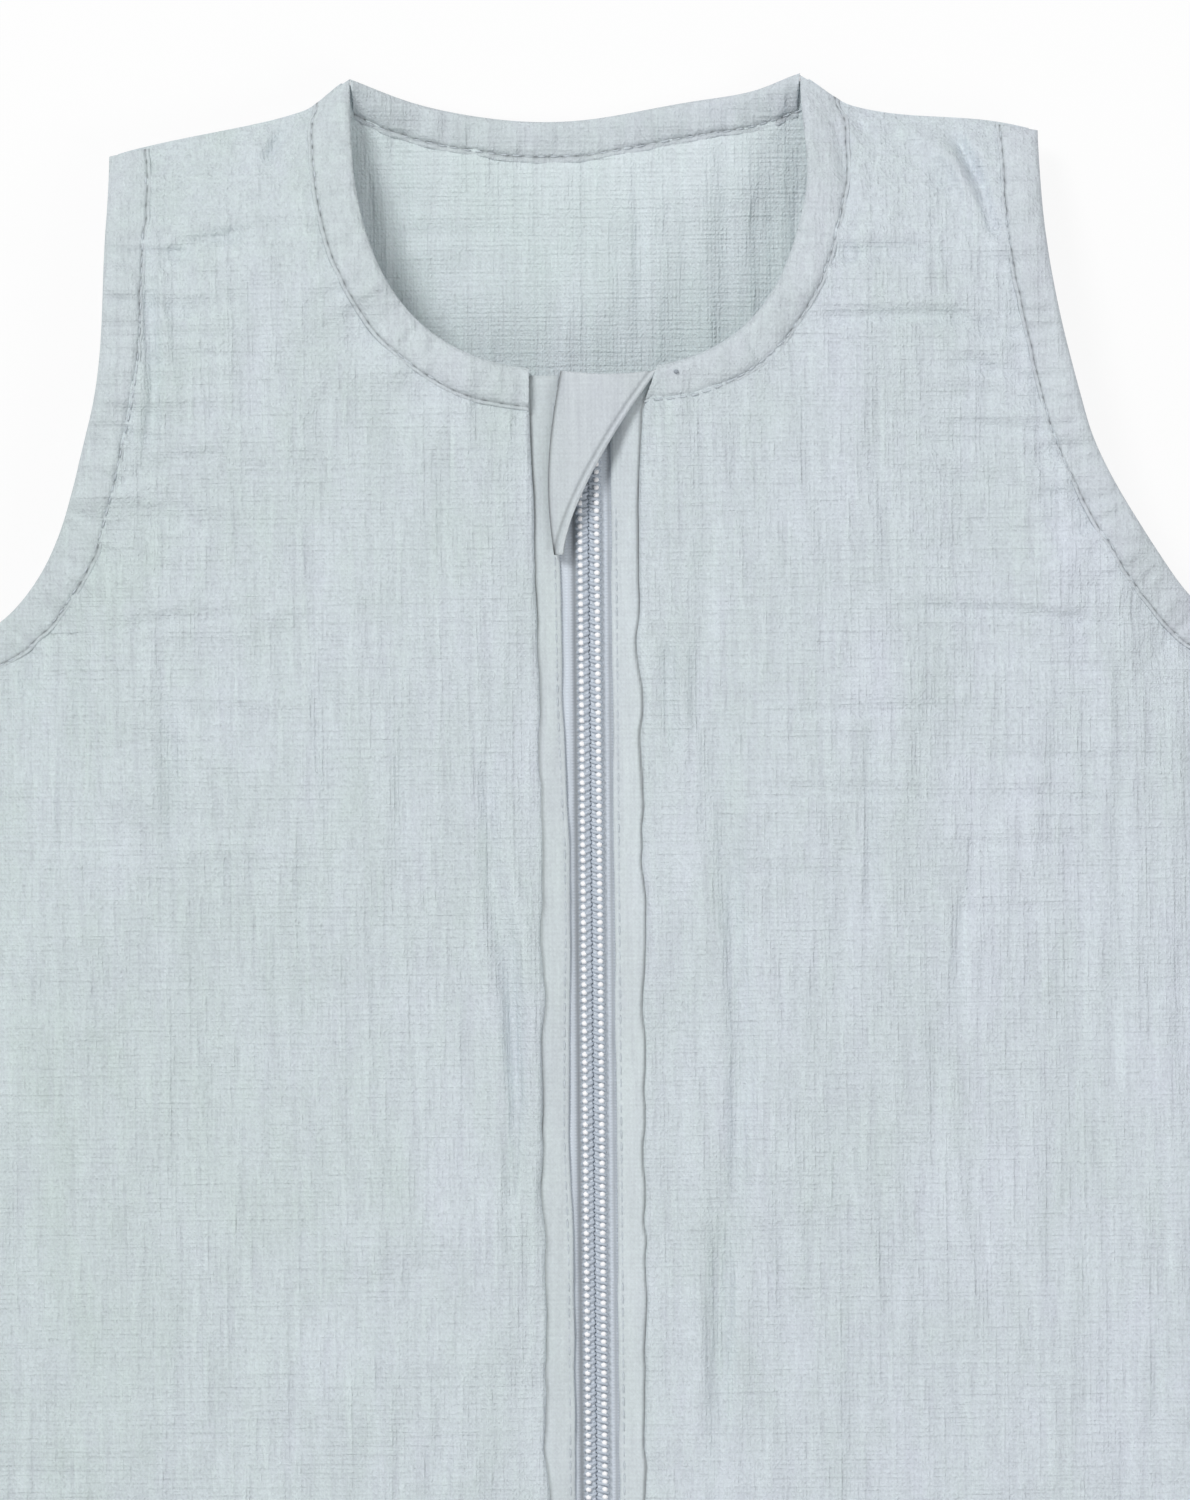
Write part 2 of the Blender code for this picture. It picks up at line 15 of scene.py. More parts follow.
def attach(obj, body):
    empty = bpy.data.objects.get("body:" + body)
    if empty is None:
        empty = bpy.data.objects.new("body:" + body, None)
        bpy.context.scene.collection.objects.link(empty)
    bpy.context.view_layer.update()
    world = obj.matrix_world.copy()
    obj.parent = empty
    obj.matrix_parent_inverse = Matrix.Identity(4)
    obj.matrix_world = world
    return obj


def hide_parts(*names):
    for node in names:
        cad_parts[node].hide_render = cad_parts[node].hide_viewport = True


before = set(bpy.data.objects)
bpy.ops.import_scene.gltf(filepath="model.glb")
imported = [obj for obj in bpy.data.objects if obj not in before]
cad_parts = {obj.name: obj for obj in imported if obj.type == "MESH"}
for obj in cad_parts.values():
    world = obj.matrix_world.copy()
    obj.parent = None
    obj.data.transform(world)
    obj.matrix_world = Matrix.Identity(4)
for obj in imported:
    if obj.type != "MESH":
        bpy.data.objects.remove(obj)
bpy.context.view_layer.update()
MM = 0.001

# %% [markdown]
# The camera looks straight down, as in a catalogue flat lay, and only the upper part of the bag is in
# the picture. One picture point is 0.24 mm on the cloth, so a small helper turns picture points into
# places on the bag. A long lens from far above keeps the outline free of perspective.

# %% Camera
PX = 0.24 * MM
PICTURE = (1190, 1500)
VIEW_TILT = math.radians(0.5)
ZIP_PX = (588.0, 480.0)
TOP_PX = 79.0
Y_TOP = 0.400
LOOK_Z = 0.022


def from_picture(u, v):
    """A place on the bag (x, y) for a point of the picture, with the bag's slight turn undone."""
    right, up = (u - ZIP_PX[0]) * PX, (ZIP_PX[1] - v) * PX
    c, s = math.cos(-VIEW_TILT), math.sin(-VIEW_TILT)
    return c * right - s * up, s * right + c * up + Y_TOP - (ZIP_PX[1] - TOP_PX) * PX


scene = bpy.context.scene
lens = bpy.data.cameras.new("camera")
lens.lens, lens.sensor_width, lens.clip_end = 300, 36, 40
camera = bpy.data.objects.new("camera", lens)
scene.collection.objects.link(camera)
mid_x, mid_y = from_picture(PICTURE[0] / 2, PICTURE[1] / 2)
camera.location = (mid_x, mid_y, LOOK_Z + PICTURE[1] * PX * lens.lens / lens.sensor_width)
camera.rotation_euler = (0, 0, -VIEW_TILT)
scene.camera = camera
print("camera", [round(v, 3) for v in camera.location])

# %% [markdown]
# Every material in Blender is a graph of nodes. Adding a node, setting its values and linking its inputs
# takes many lines, so a few helpers do all of it in one. The floor, the cloth and the zip use them alike.
# Another pair of helpers turns a bmesh or a mesh into an object of the scene.

# %% Helpers for nodes and meshes


def add(tree, kind, settings=None, **inputs):
    """A node with its settings, and its inputs given as values or as sockets to link from."""
    node = tree.nodes.new(kind)
    for key, value in (settings or {}).items():
        setattr(node, key, value)
    for key, value in inputs.items():
        socket = node.inputs[int(key[1:])] if key[0] == "i" and key[1:].isdigit() else node.inputs[key]
        if isinstance(value, bpy.types.NodeSocket):
            tree.links.new(value, socket)
        else:
            socket.default_value = value
    return node


def math_node(tree, operation, a, b=0.0):
    return add(tree, "ShaderNodeMath", {"operation": operation}, i0=a, i1=b).outputs[0]


def new_material(name):
    """A material, its node tree and its shader."""
    material = bpy.data.materials.new(name)
    material.use_nodes = True
    return material, material.node_tree, material.node_tree.nodes["Principled BSDF"]


def new_object(name, mesh):
    """A smooth-shaded object for a mesh."""
    mesh.polygons.foreach_set("use_smooth", [True] * len(mesh.polygons))
    obj = bpy.data.objects.new(name, mesh)
    scene.collection.objects.link(obj)
    return obj


def object_from(bm, name):
    mesh = bpy.data.meshes.new(name)
    bm.to_mesh(mesh)
    bm.free()
    return new_object(name, mesh)


print("node and mesh helpers ready")

# %% [markdown]
# The photograph has a pure white ground and very even light. A large pale floor takes the bag's soft
# shadow. Rays from the camera, also by way of a mirror or glass, see the floor and the world as white,
# while the light on the cloth stays at a plain level. A key lamp from above and to the left shades the
# creases, and a wide, weak fill lamp from the other side softens their shadows.

# %% Floor, world and lamps
scene.view_settings.view_transform = "Standard"
FLOOR_GREY, FLOOR_GLOW, WORLD_LIGHT = 0.82, 0.9, 0.5


def seen_rays(tree, seen_value, other_value):
    """A value for rays that the camera sees, also by way of a mirror or glass, and another for the rest."""
    rays = tree.nodes.new("ShaderNodeLightPath").outputs
    seen = math_node(tree, "MAXIMUM", rays["Is Camera Ray"], rays["Is Glossy Ray"])
    seen = math_node(tree, "MAXIMUM", seen, rays["Is Transmission Ray"])
    pick = add(tree, "ShaderNodeMapRange", None, Value=seen)
    pick.inputs["To Min"].default_value = other_value
    pick.inputs["To Max"].default_value = seen_value
    return pick.outputs["Result"]


world = bpy.data.worlds.new("studio")
scene.world = world
world.use_nodes = True
background = world.node_tree.nodes["Background"]
background.inputs["Color"].default_value = (1, 1, 1, 1)
world.node_tree.links.new(seen_rays(world.node_tree, 1.0, WORLD_LIGHT), background.inputs["Strength"])

bm = bmesh.new()
bmesh.ops.create_grid(bm, x_segments=1, y_segments=1, size=4)
floor = object_from(bm, "floor")
floor.location.z = -0.5 * MM
white, tree, shader = new_material("floor_white")
shader.inputs["Base Color"].default_value = (FLOOR_GREY, FLOOR_GREY, FLOOR_GREY, 1)
shader.inputs["Roughness"].default_value = 0.9
glow = add(tree, "ShaderNodeEmission", None, Strength=1.0).outputs[0]
share = seen_rays(tree, FLOOR_GLOW, 0.0)
ground = add(tree, "ShaderNodeMixShader", None, i0=share, i1=shader.outputs[0], i2=glow).outputs[0]
tree.links.new(ground, tree.nodes["Material Output"].inputs["Surface"])
floor.data.materials.append(white)


def area_lamp(name, place, aim, size, power):
    data = bpy.data.lights.new(name, "AREA")
    data.shape, data.size, data.energy = "DISK", size, power
    lamp = bpy.data.objects.new(name, data)
    lamp.location = place
    lamp.rotation_euler = (Vector(aim) - Vector(place)).to_track_quat("-Z", "Y").to_euler()
    scene.collection.objects.link(lamp)


area_lamp("key", place=(-1.6, 2.1, 3.5), aim=(0, 0.1, 0), size=1.3, power=97)
area_lamp("fill", place=(2.2, -1.5, 3.2), aim=(0, 0.0, 0), size=2.4, power=31)
print("floor, world and two lamps")

# %% [markdown]
# All cloth follows a few plan curves, the same as in the solid model: the neck, the armholes, the side
# seams and the bottom. They could be traced from the edges of the solids, but short formulas are easier
# to follow and to bend. Each is written once here, for whole arrays of points at a time.

# %% Plan curves
# The neck: half width, depth, roundness, and how far the nape dips.
NECK_A, NECK_B, NECK_P, NAPE_D = 0.0565, 0.070, 2.7, 0.010
# The shoulder tip: half width and drop. The armhole: depth and roundness.
SHOULDER_X, SHOULDER_D, ARM_D, ARM_P = 0.111, 0.015, 0.117, 1.85
# Half widths at the chest and the hem, the bottom corner's radius, and the folded edge beside the zip.
CHEST_X, HEM_X, CORNER, X_FOLD = 0.152, 0.215, 0.100, 0.012
Y_BOTTOM, Y_ARM = -0.400, Y_TOP - SHOULDER_D - ARM_D


def smooth(t):
    t = np.clip(t, 0, 1)
    return t * t * (3 - 2 * t)


def neck_front(t):
    """The front neck fold from the shoulder at 0 to the zip at 1."""
    turn = t * math.acos((X_FOLD / NECK_A) ** (NECK_P / 2))
    power = 2 / NECK_P
    return np.stack([NECK_A * np.cos(turn) ** power, Y_TOP - NECK_B * np.sin(turn) ** power], -1)


def neck_back(t):
    """The back neck fold from the shoulder at 0 to the middle at 1."""
    return np.stack([NECK_A * (1 - t), Y_TOP - NAPE_D * (1 - (1 - t) ** 2)], -1)


def armhole(t):
    """The armhole fold from the shoulder tip at 0 to the underarm at 1."""
    bulge = 1 - (1 - np.clip(t, 0, 1) ** ARM_P) ** (1 / ARM_P)
    return np.stack([SHOULDER_X + (CHEST_X - SHOULDER_X) * bulge, Y_TOP - SHOULDER_D - ARM_D * t], -1)


def side_seam(t):
    """The side seam from the underarm at 0 to the bottom corner at 1."""
    y = Y_ARM + (Y_BOTTOM + CORNER - Y_ARM) * t
    return np.stack([CHEST_X + (HEM_X - CHEST_X) * np.sin(t * math.pi / 2), y], -1)


def hem_corner(t):
    """The bottom corner from the side seam at 0 to the bottom seam at 1."""
    turn = -t * math.pi / 2
    return np.stack([HEM_X - CORNER + CORNER * np.cos(turn), Y_BOTTOM + CORNER + CORNER * np.sin(turn)], -1)


def shoulder(t):
    """The shoulder seam, which dips where the neck binding pulls it in."""
    dip = 3.9 * MM * smooth(t / 0.2) * (1 - smooth((t - 0.2) / 0.75))
    return np.stack([NECK_A + (SHOULDER_X - NECK_A) * t, Y_TOP - SHOULDER_D * t - dip], -1)


ONE = np.linspace(0, 1, 41)
PAST_MIDDLE = [[-0.05, Y_BOTTOM]]
SIDE_LINE = np.concatenate([side_seam(ONE), hem_corner(ONE[1:]), PAST_MIDDLE])
SHOULDER_LINE = shoulder(np.linspace(0, 1, 13))
NECK_LINE, BACK_NECK_LINE, ARM_LINE = neck_front(ONE), neck_back(ONE), armhole(ONE)
# The nape as it lies in the picture, pushed up a little right of the middle.
NAPE_PUSH, NAPE_PUSH_X = 3.2 * MM, 0.024
BACK_LINE = np.concatenate([BACK_NECK_LINE * [-1, 1], BACK_NECK_LINE[::-1][1:]])
BACK_LINE[:, 1] += NAPE_PUSH * np.exp(-(((BACK_LINE[:, 0] - NAPE_PUSH_X) / NAPE_PUSH_X) ** 2))
print("neck width", round(2 * NECK_A, 4), "chest", round(2 * CHEST_X, 4), "hem", round(2 * HEM_X, 4))

# %% [markdown]
# A bag that lies flat is thin at its closed seams and thicker in between. Its height follows from the
# distance to the nearest closed seam: the front rises from its seams to a flat crown, and the back drops
# to the floor. A depth moves a surface inwards by that much, which gives room for the linings.

# %% Heights
# Heights of the crown and of the closed seams, and half the gap between front and back at a seam.
LOFT, SEAM_Z, SEAM_GAP = 0.030, 0.012, 0.15 * MM
# How far the crown falls towards the sides, and where that starts.
SIDE_FALL, CROWN_X = 0.005, 0.024
# Distances from a seam at which the front and the back reach their full height.
FRONT_RISE, BACK_RISE = 0.045, 0.025
# Lift of the back beside its open edges: how much, how far in it is felt, and how fast it grows.
EDGE_LIFT, EDGE_FAR, EDGE_FADE = 1.3 * MM, 0.032, 0.016


def line_distance(p, line):
    """Distance of each point to a polyline, and the length along the line at the nearest place."""
    best = np.full(len(p), np.inf)
    at = np.zeros(len(p))
    gone = 0.0
    for a, b in zip(line[:-1], line[1:]):
        run = b - a
        size = math.hypot(*run)
        if size < 1e-9:
            continue
        t = np.clip(((p - a) @ run) / size**2, 0, 1)
        d = np.hypot(*(p - a - t[:, None] * run).T)
        near = d < best
        best = np.where(near, d, best)
        at = np.where(near, gone + t * size, at)
        gone += size
    return best, at


def right_half(p):
    """The points with those of the left half mirrored to the right."""
    return np.stack([np.abs(p[:, 0]), p[:, 1]], -1)


def seam_distance(p):
    q = right_half(p)
    return np.minimum(line_distance(q, SIDE_LINE)[0], line_distance(q, SHOULDER_LINE)[0])


def rise(d, reach):
    return np.sin(math.pi / 2 * np.clip(d / reach, 0, 1)) ** 0.8


def front_z(p, depth=0.0):
    crown = LOFT - SIDE_FALL * smooth((np.abs(p[:, 0]) - CROWN_X) / (CHEST_X - CROWN_X))
    low = SEAM_Z + SEAM_GAP
    return low + (crown - depth - low) * rise(seam_distance(p) - depth, FRONT_RISE - depth)


def back_z(p, depth=0.0):
    """The back, which lifts off the floor beside the neck and the armholes, where the bindings pass under."""
    q = right_half(p)
    edge = np.minimum(line_distance(q, BACK_NECK_LINE)[0], line_distance(q, ARM_LINE)[0])
    low = depth + EDGE_LIFT * smooth((EDGE_FAR - edge) / EDGE_FADE)
    high = SEAM_Z - SEAM_GAP
    return high - (high - low) * rise(seam_distance(p) - depth, BACK_RISE - depth)


middle = np.array([[CROWN_X, 0.0]])
print("crown", round(front_z(middle)[0], 4), "floor", round(back_z(middle)[0], 4))

# %% [markdown]
# Muslin is woven loosely and washed, so it shrinks into fine crinkles that run along its length. A cloth
# simulation would be slow and would put them anywhere, so they are sums of smooth noise: wide swells, long
# gathers, cross wrinkles and fine crinkles. In these sums x and y are in mm. A number under a coordinate
# is the size of a bump, and a number before a noise is its height in mm.

# %% Noise and crinkles


def noise(x, y, seed):
    """Smooth noise between about -1 and 1, with one bump for each unit step."""
    ix, iy = np.floor(x), np.floor(y)
    fx, fy = smooth(x - ix), smooth(y - iy)

    def corner(a, b):
        h = np.sin((ix + a) * 127.1 + (iy + b) * 311.7 + seed * 74.7) * 43758.5453
        return 2 * (h - np.floor(h)) - 1

    low = corner(0, 0) * (1 - fx) + corner(1, 0) * fx
    high = corner(0, 1) * (1 - fx) + corner(1, 1) * fx
    return low * (1 - fy) + high * fy


def line_noise(x, seed):
    """Noise along a line."""
    return noise(x, np.zeros(len(x)), seed)


def ridges(x, y, seed):
    """Noise folded over, which gives soft rounded bodies with sharper valleys between them."""
    return 1 - 2 * np.abs(noise(x, y, seed))


def crinkle(p, seed):
    """Height added to flat cloth: swells, long gathers, short cross wrinkles and fine crinkles."""
    x, y = p[:, 0] * 1000, p[:, 1] * 1000
    drift = 6 * noise(x / 70, y / 90, seed + 9)
    swell = 1.3 * noise(x / 52, y / 80, seed) + 0.8 * noise(x / 23, y / 55, seed + 1)
    gather = 0.6 * ridges((x + drift) / 8.5, y / 60, seed + 2)
    gather = gather + 0.24 * ridges((x + drift) / 4.1, y / 30, seed + 3)
    patch = smooth(0.2 + 1.4 * noise(x / 45, y / 60, seed + 6))
    bent = y + 4 * noise(x / 30, y / 40, seed + 7)
    cross = 0.7 * patch * ridges(x / 42, bent / 9.5, seed + 8)
    strap = smooth((y - 232) / 40) * smooth((np.abs(x) - 62) / 12)
    slanted = y + 0.08 * x + 3 * noise(x / 21, y / 40, seed + 12)
    cross = cross + 0.22 * strap * ridges(x / 34, slanted / 6.5, seed + 11)
    fine = 0.1 * noise((x + drift) / 1.7, y / 11, seed + 4) + 0.08 * noise(x / 2.6, y / 3.1, seed + 5)
    return MM * (swell + gather + cross + fine)


print("crinkle at the middle", [round(float(h), 5) for h in crinkle(middle, 3)])

# %% [markdown]
# A bag that was folded and worn also has clear creases: long folds down the front, and short ones that the
# shoulders and armholes pull in. Noise can't put them in the right places, so they are drawn as lines over
# the picture. Each presses a soft valley into the cloth, with a low ridge on both sides.

# %% Creases
# Points in the picture, half width in mm, depth in mm (below zero stands up).
CREASES = [
    # left shoulder and armhole
    ([(295, 108), (282, 138), (270, 163)], 1.2, 1.5),
    ([(125, 190), (198, 173)], 1.4, 0.4),
    ([(178, 252), (210, 240), (255, 231)], 1.5, 1.0),
    ([(176, 264), (161, 293), (158, 363), (146, 470)], 1.2, 0.9),
    ([(161, 315), (220, 301), (278, 293)], 1.5, 0.35),
    ([(103, 484), (170, 462), (234, 454)], 1.5, 0.4),
    ([(88, 630), (180, 618), (264, 615)], 1.5, 0.5),
    # right shoulder and armhole
    ([(890, 106), (931, 138), (964, 170), (1000, 225), (1020, 282)], 1.8, -1.3),
    ([(962, 135), (983, 181), (997, 221), (1009, 252)], 1.4, 2.4),
    ([(846, 108), (853, 150), (852, 190)], 1.1, 1.1),
    ([(866, 110), (882, 145)], 1.2, 0.8),
    ([(841, 256), (904, 251), (967, 261)], 1.5, 0.9),
    ([(815, 319), (904, 316), (961, 318), (977, 326), (1024, 331)], 1.4, 0.9),
    ([(950, 360), (1040, 380)], 1.4, 0.8),
    ([(879, 418), (980, 424), (1070, 440)], 1.5, 0.5),
    ([(909, 484), (1010, 490), (1114, 506)], 1.5, 0.5),
    # right chest
    ([(879, 608), (980, 612), (1092, 623)], 1.3, 0.56),
    ([(865, 652), (990, 660), (1114, 674)], 1.4, 0.38),
    ([(747, 718), (840, 709), (938, 711)], 1.3, 0.49),
    ([(960, 755), (1158, 762)], 1.4, 0.38),
    ([(733, 791), (930, 792), (1114, 803)], 1.3, 0.52),
    ([(909, 850), (1077, 843)], 1.3, 0.45),
    ([(733, 865), (821, 879)], 1.3, 0.45),
    ([(938, 909), (1092, 916)], 1.3, 0.38),
    # long folds down the front
    ([(670, 630), (667, 703), (677, 762)], 1.3, 1.1),
    ([(690, 640), (694, 735)], 1.2, 0.6),
    ([(711, 733), (721, 879), (737, 1055), (725, 1246), (718, 1465)], 2.2, 1.6),
    ([(850, 696), (854, 938)], 1.3, 0.7),
    ([(945, 879), (938, 1026)], 1.3, 0.6),
    ([(920, 1011), (926, 1172)], 1.3, 0.5),
    ([(484, 718), (492, 879), (510, 1011), (520, 1143)], 1.7, 1.2),
    ([(505, 880), (513, 960), (517, 1100), (511, 1240)], 1.5, 1.1),
    ([(403, 703), (399, 909)], 1.4, 0.5),
    ([(300, 821), (305, 1084)], 1.4, 0.6),
    ([(220, 821), (227, 1055)], 1.4, 0.6),
    ([(161, 703), (161, 879)], 1.4, 0.5),
    ([(20, 650), (24, 760)], 1.4, 0.6),
    ([(44, 655), (50, 762), (44, 909)], 1.4, 0.6),
    ([(66, 655), (72, 735)], 1.4, 0.5),
]
CREASE_LINES = [(np.array([from_picture(*p) for p in line]), w, d) for line, w, d in CREASES]
CREASE_REACH = 0.012


def creases(p):
    out = np.zeros(len(p))
    for line, width, depth in CREASE_LINES:
        low, high = line.min(0) - CREASE_REACH, line.max(0) + CREASE_REACH
        near = np.nonzero(((p > low) & (p < high)).all(1))[0]
        if not len(near):
            continue
        d, at = line_distance(p[near], line)
        whole = np.hypot(*np.diff(line, axis=0).T).sum()
        ends = smooth(np.minimum(at, whole - at) / (0.22 * whole) + 0.15)
        valley = np.exp(-((d / (1.3 * width * MM)) ** 2))
        ridge = np.exp(-(((d - 2.4 * width * MM) / (1.6 * width * MM)) ** 2))
        out[near] += depth * MM * ends * (0.5 * ridge - valley)
    return out


print("creases", len(CREASES))

# %% [markdown]
# Where a band or a seam is stitched, the thread draws the cloth together, and small waves run out from the
# stitches and die away. They are noise too, but measured along the seam and away from it, so that the
# waves always start square to the stitches.

# %% Puckers
BAND = 0.010
PUCKERED = [(NECK_LINE, BAND, 0.9), (ARM_LINE, BAND, 0.85), (SIDE_LINE, 0.0, 0.9), (SHOULDER_LINE, 0.0, 0.8)]


def puckers(distance, along, seed, reach=0.016, size=0.42):
    """Small waves that run out from a stitched seam and die away."""
    a, d = along * 1000, distance * 1000
    wave = noise(a / 4.2 + 0.15 * noise(a / 19, d / 9, seed), d / 26, seed + 1)
    wave = wave + 0.5 * noise(a / 2.3, d / 14, seed + 2)
    fade = np.exp(-((np.maximum(distance, 0) / reach) ** 1.4))
    return MM * size * wave * fade


def seams_near(p):
    """Puckers beside the neck, the armholes and the seams, different on the left and the right."""
    q = right_half(p)
    side = np.sign(p[:, 0])
    out = np.zeros(len(p))
    for k, (line, band, size) in enumerate(PUCKERED):
        d, at = line_distance(q, line)
        out += puckers(np.abs(d - band), at + side * 0.7, 11 * k + 3, 0.017, size)
    return out


print("seams with puckers", len(PUCKERED))

# %% [markdown]
# The cloth is one shader node group with a colour, a roughness and a bump height, so that every piece of
# muslin can use it with its own values. Long and cross streaks are the uneven yarns of the two thread
# directions, a fine grain is their fuzz, broad patches drift the colour between two tints, and crossed
# waves are the square weave. It reads object coordinates, so it stays on the cloth as that moves.

# %% Muslin group
GREY = (0.5, 0.5, 0.5, 1)


def new_group(name, inputs, outputs):
    group = bpy.data.node_groups.new(name, "ShaderNodeTree")
    for label, kind, value in inputs:
        socket = group.interface.new_socket(label, in_out="INPUT", socket_type="NodeSocket" + kind)
        socket.default_value = value
    for label, kind in outputs:
        group.interface.new_socket(label, in_out="OUTPUT", socket_type="NodeSocket" + kind)
    return group, group.nodes.new("NodeGroupInput").outputs, group.nodes.new("NodeGroupOutput").inputs


def streaks(tree, vector, scale, detail, rough=0.55):
    """Noise stretched by a scale for each axis, around zero."""
    mapped = add(tree, "ShaderNodeMapping", None, Vector=vector, Scale=scale).outputs[0]
    made = add(tree, "ShaderNodeTexNoise", None, Vector=mapped, Scale=1.0, Detail=detail, Roughness=rough)
    return math_node(tree, "SUBTRACT", made.outputs["Fac"], 0.5)


def threads(tree, vector, axis, scale, distortion, detail):
    """Bands across one axis, like threads side by side."""
    wave = add(tree, "ShaderNodeTexWave", {"bands_direction": axis}, Vector=vector, Scale=scale)
    wave.inputs["Distortion"].default_value = distortion
    wave.inputs["Detail"].default_value = detail
    return wave.outputs["Fac"]


def plus_times(tree, total, socket, weight):
    """A total plus a socket times its weight."""
    node = add(tree, "ShaderNodeMath", {"operation": "MULTIPLY_ADD"}, i0=socket, i1=weight, i2=total)
    return node.outputs[0]


def weighted(tree, *pairs):
    """The sum of sockets, each times its weight."""
    total = 0.0
    for socket, weight in pairs:
        total = plus_times(tree, total, socket, weight)
    return total


def toned(tree, colour, tone):
    """A colour made lighter or darker by a tone around 1."""
    grey = add(tree, "ShaderNodeCombineColor", None, Red=tone, Green=tone, Blue=tone).outputs[0]
    settings = {"data_type": "RGBA", "blend_type": "MULTIPLY"}
    return add(tree, "ShaderNodeMix", settings, i0=1.0, i6=colour, i7=grey).outputs[2]


muslin, given, made = new_group(
    "muslin_cloth",
    [
        ("Vector", "Vector", (0, 0, 0)),
        ("Colour", "Color", GREY),
        ("Tint", "Color", GREY),
        ("Streak", "Float", 1.0),
        ("Dark", "Float", 0.0),
    ],
    [("Colour", "Color"), ("Roughness", "Float"), ("Height", "Float")],
)
place = given["Vector"]
long_streak = streaks(muslin, place, (620, 40, 620), 4, 0.6)
cross_streak = streaks(muslin, place, (40, 780, 40), 4, 0.62)
grain = streaks(muslin, place, (1700, 1300, 1700), 2)
patches = streaks(muslin, place, (60, 26, 60), 4, 0.65)
thread_x = threads(muslin, place, "X", 330.0, 1.6, 2.0)
thread_y = threads(muslin, place, "Y", 290.0, 2.0, 2.0)
weave = math_node(muslin, "SUBTRACT", math_node(muslin, "MULTIPLY", thread_x, thread_y), 0.25)

tone = weighted(muslin, (long_streak, 0.4), (cross_streak, 0.14), (grain, 0.36))
tone = math_node(muslin, "MULTIPLY", tone, given["Streak"])
tone = math_node(muslin, "ADD", plus_times(muslin, tone, weave, 0.05), 1.0)
# Dark is painted shade from the mesh attribute. It darkens the colour in grooves and ditches.
tone = math_node(muslin, "MULTIPLY", tone, math_node(muslin, "SUBTRACT", 1.0, given["Dark"]))
# The colour drifts towards the tint on the left of the bag. This is a painted colour cast of the light and
# the camera, greener there.
across = add(muslin, "ShaderNodeSeparateXYZ", None, Vector=place).outputs["X"]
share = weighted(muslin, (patches, 1.5), (long_streak, 0.7), (cross_streak, 0.4), (across, -1.6))
share = add(muslin, "ShaderNodeMath", {"operation": "ADD", "use_clamp": True}, i0=share, i1=0.5).outputs[0]
hue = add(muslin, "ShaderNodeMix", {"data_type": "RGBA"}, i0=share, i6=given["Colour"], i7=given["Tint"])
muslin.links.new(toned(muslin, hue.outputs[2], tone), made["Colour"])
muslin.links.new(plus_times(muslin, 0.88, grain, 0.12), made["Roughness"])
height = weighted(muslin, (long_streak, 1.3), (cross_streak, 0.75), (grain, 0.5))
height = math_node(muslin, "MULTIPLY", height, given["Streak"])
muslin.links.new(plus_times(muslin, height, weave, 0.14), made["Height"])
print("muslin group with", len(muslin.nodes), "nodes")

# %% [markdown]
# The bag's cloths are the same muslin in slightly different tints: the front, the lining, the bindings,
# and the facing and the flap at the zip. A mesh attribute named dark holds painted shade. It darkens the
# colour in stitched grooves, beside folded edges and along the rims of bands, where the shade is finer
# than the grids of the pieces. A dull, faintly fuzzy surface suits washed cotton.

# %% Cloth finishes


def linear(*rgb):
    """Picture colour from 0 to 255 to the linear values that shaders take."""
    v = [c / 255 for c in rgb]
    return tuple(c / 12.92 if c <= 0.04045 else ((c + 0.055) / 1.055) ** 2.4 for c in v) + (1.0,)


def object_place(tree):
    return tree.nodes.new("ShaderNodeTexCoord").outputs["Object"]


# Painted shade, read from the mesh attribute dark.
def painted_shade_attribute(tree):
    return add(tree, "ShaderNodeAttribute", {"attribute_name": "dark"}).outputs["Fac"]


def dress(tree, shader, look, strength, depth):
    """Links a group's colour, roughness and height to the shader. The depth of the bumps is in mm."""
    tree.links.new(look.outputs["Colour"], shader.inputs["Base Color"])
    if "Roughness" in look.outputs:
        tree.links.new(look.outputs["Roughness"], shader.inputs["Roughness"])
    height = look.outputs["Height"]
    bump = add(tree, "ShaderNodeBump", None, Strength=strength, Distance=depth * MM, Height=height)
    tree.links.new(bump.outputs[0], shader.inputs["Normal"])


def cloth_material(name, colour, tint, streak=1.0, depth=0.7):
    material, tree, shader = new_material(name)
    look = add(
        tree, "ShaderNodeGroup", {"node_tree": muslin},
        Vector=object_place(tree), Colour=colour, Tint=tint, Streak=streak, Dark=painted_shade_attribute(tree),
    )
    dress(tree, shader, look, 1.0, depth)
    shader.inputs["Specular IOR Level"].default_value = 0.12
    shader.inputs["Sheen Weight"].default_value = 0.06
    return material


MUSLIN = cloth_material("muslin_grey_blue", linear(211, 218, 227), linear(198, 210, 210))
LINING = cloth_material("muslin_lining", linear(221, 229, 235), linear(206, 219, 219), 0.75)
BINDING = cloth_material("muslin_binding", linear(205, 211, 219), linear(196, 207, 208), 0.95, 0.55)
FACING = cloth_material("muslin_facing", linear(203, 210, 216), linear(202, 212, 213), 0.7, 0.3)
FLAP = cloth_material("muslin_flap", linear(198, 204, 211), linear(198, 206, 208), 0.7, 0.3)
print("cloth finishes:", MUSLIN.name, LINING.name, BINDING.name, FACING.name, FLAP.name)

# %% [markdown]
# Every sheet starts as a flat grid, like a cut piece of cloth, and is then laid over the bag. One helper
# makes the grid and moves its points. Another files the piece: which body it moves with and which plain
# solid of the model it stands for.

# %% Helpers for pieces
OPENING = 0.02


def file_piece(obj, material, nodes, body):
    """Gives a piece its finish, the solids it stands for and the body it moves with."""
    obj.data.materials.clear()
    obj.data.materials.append(material)
    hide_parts(*nodes)
    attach(obj, body)


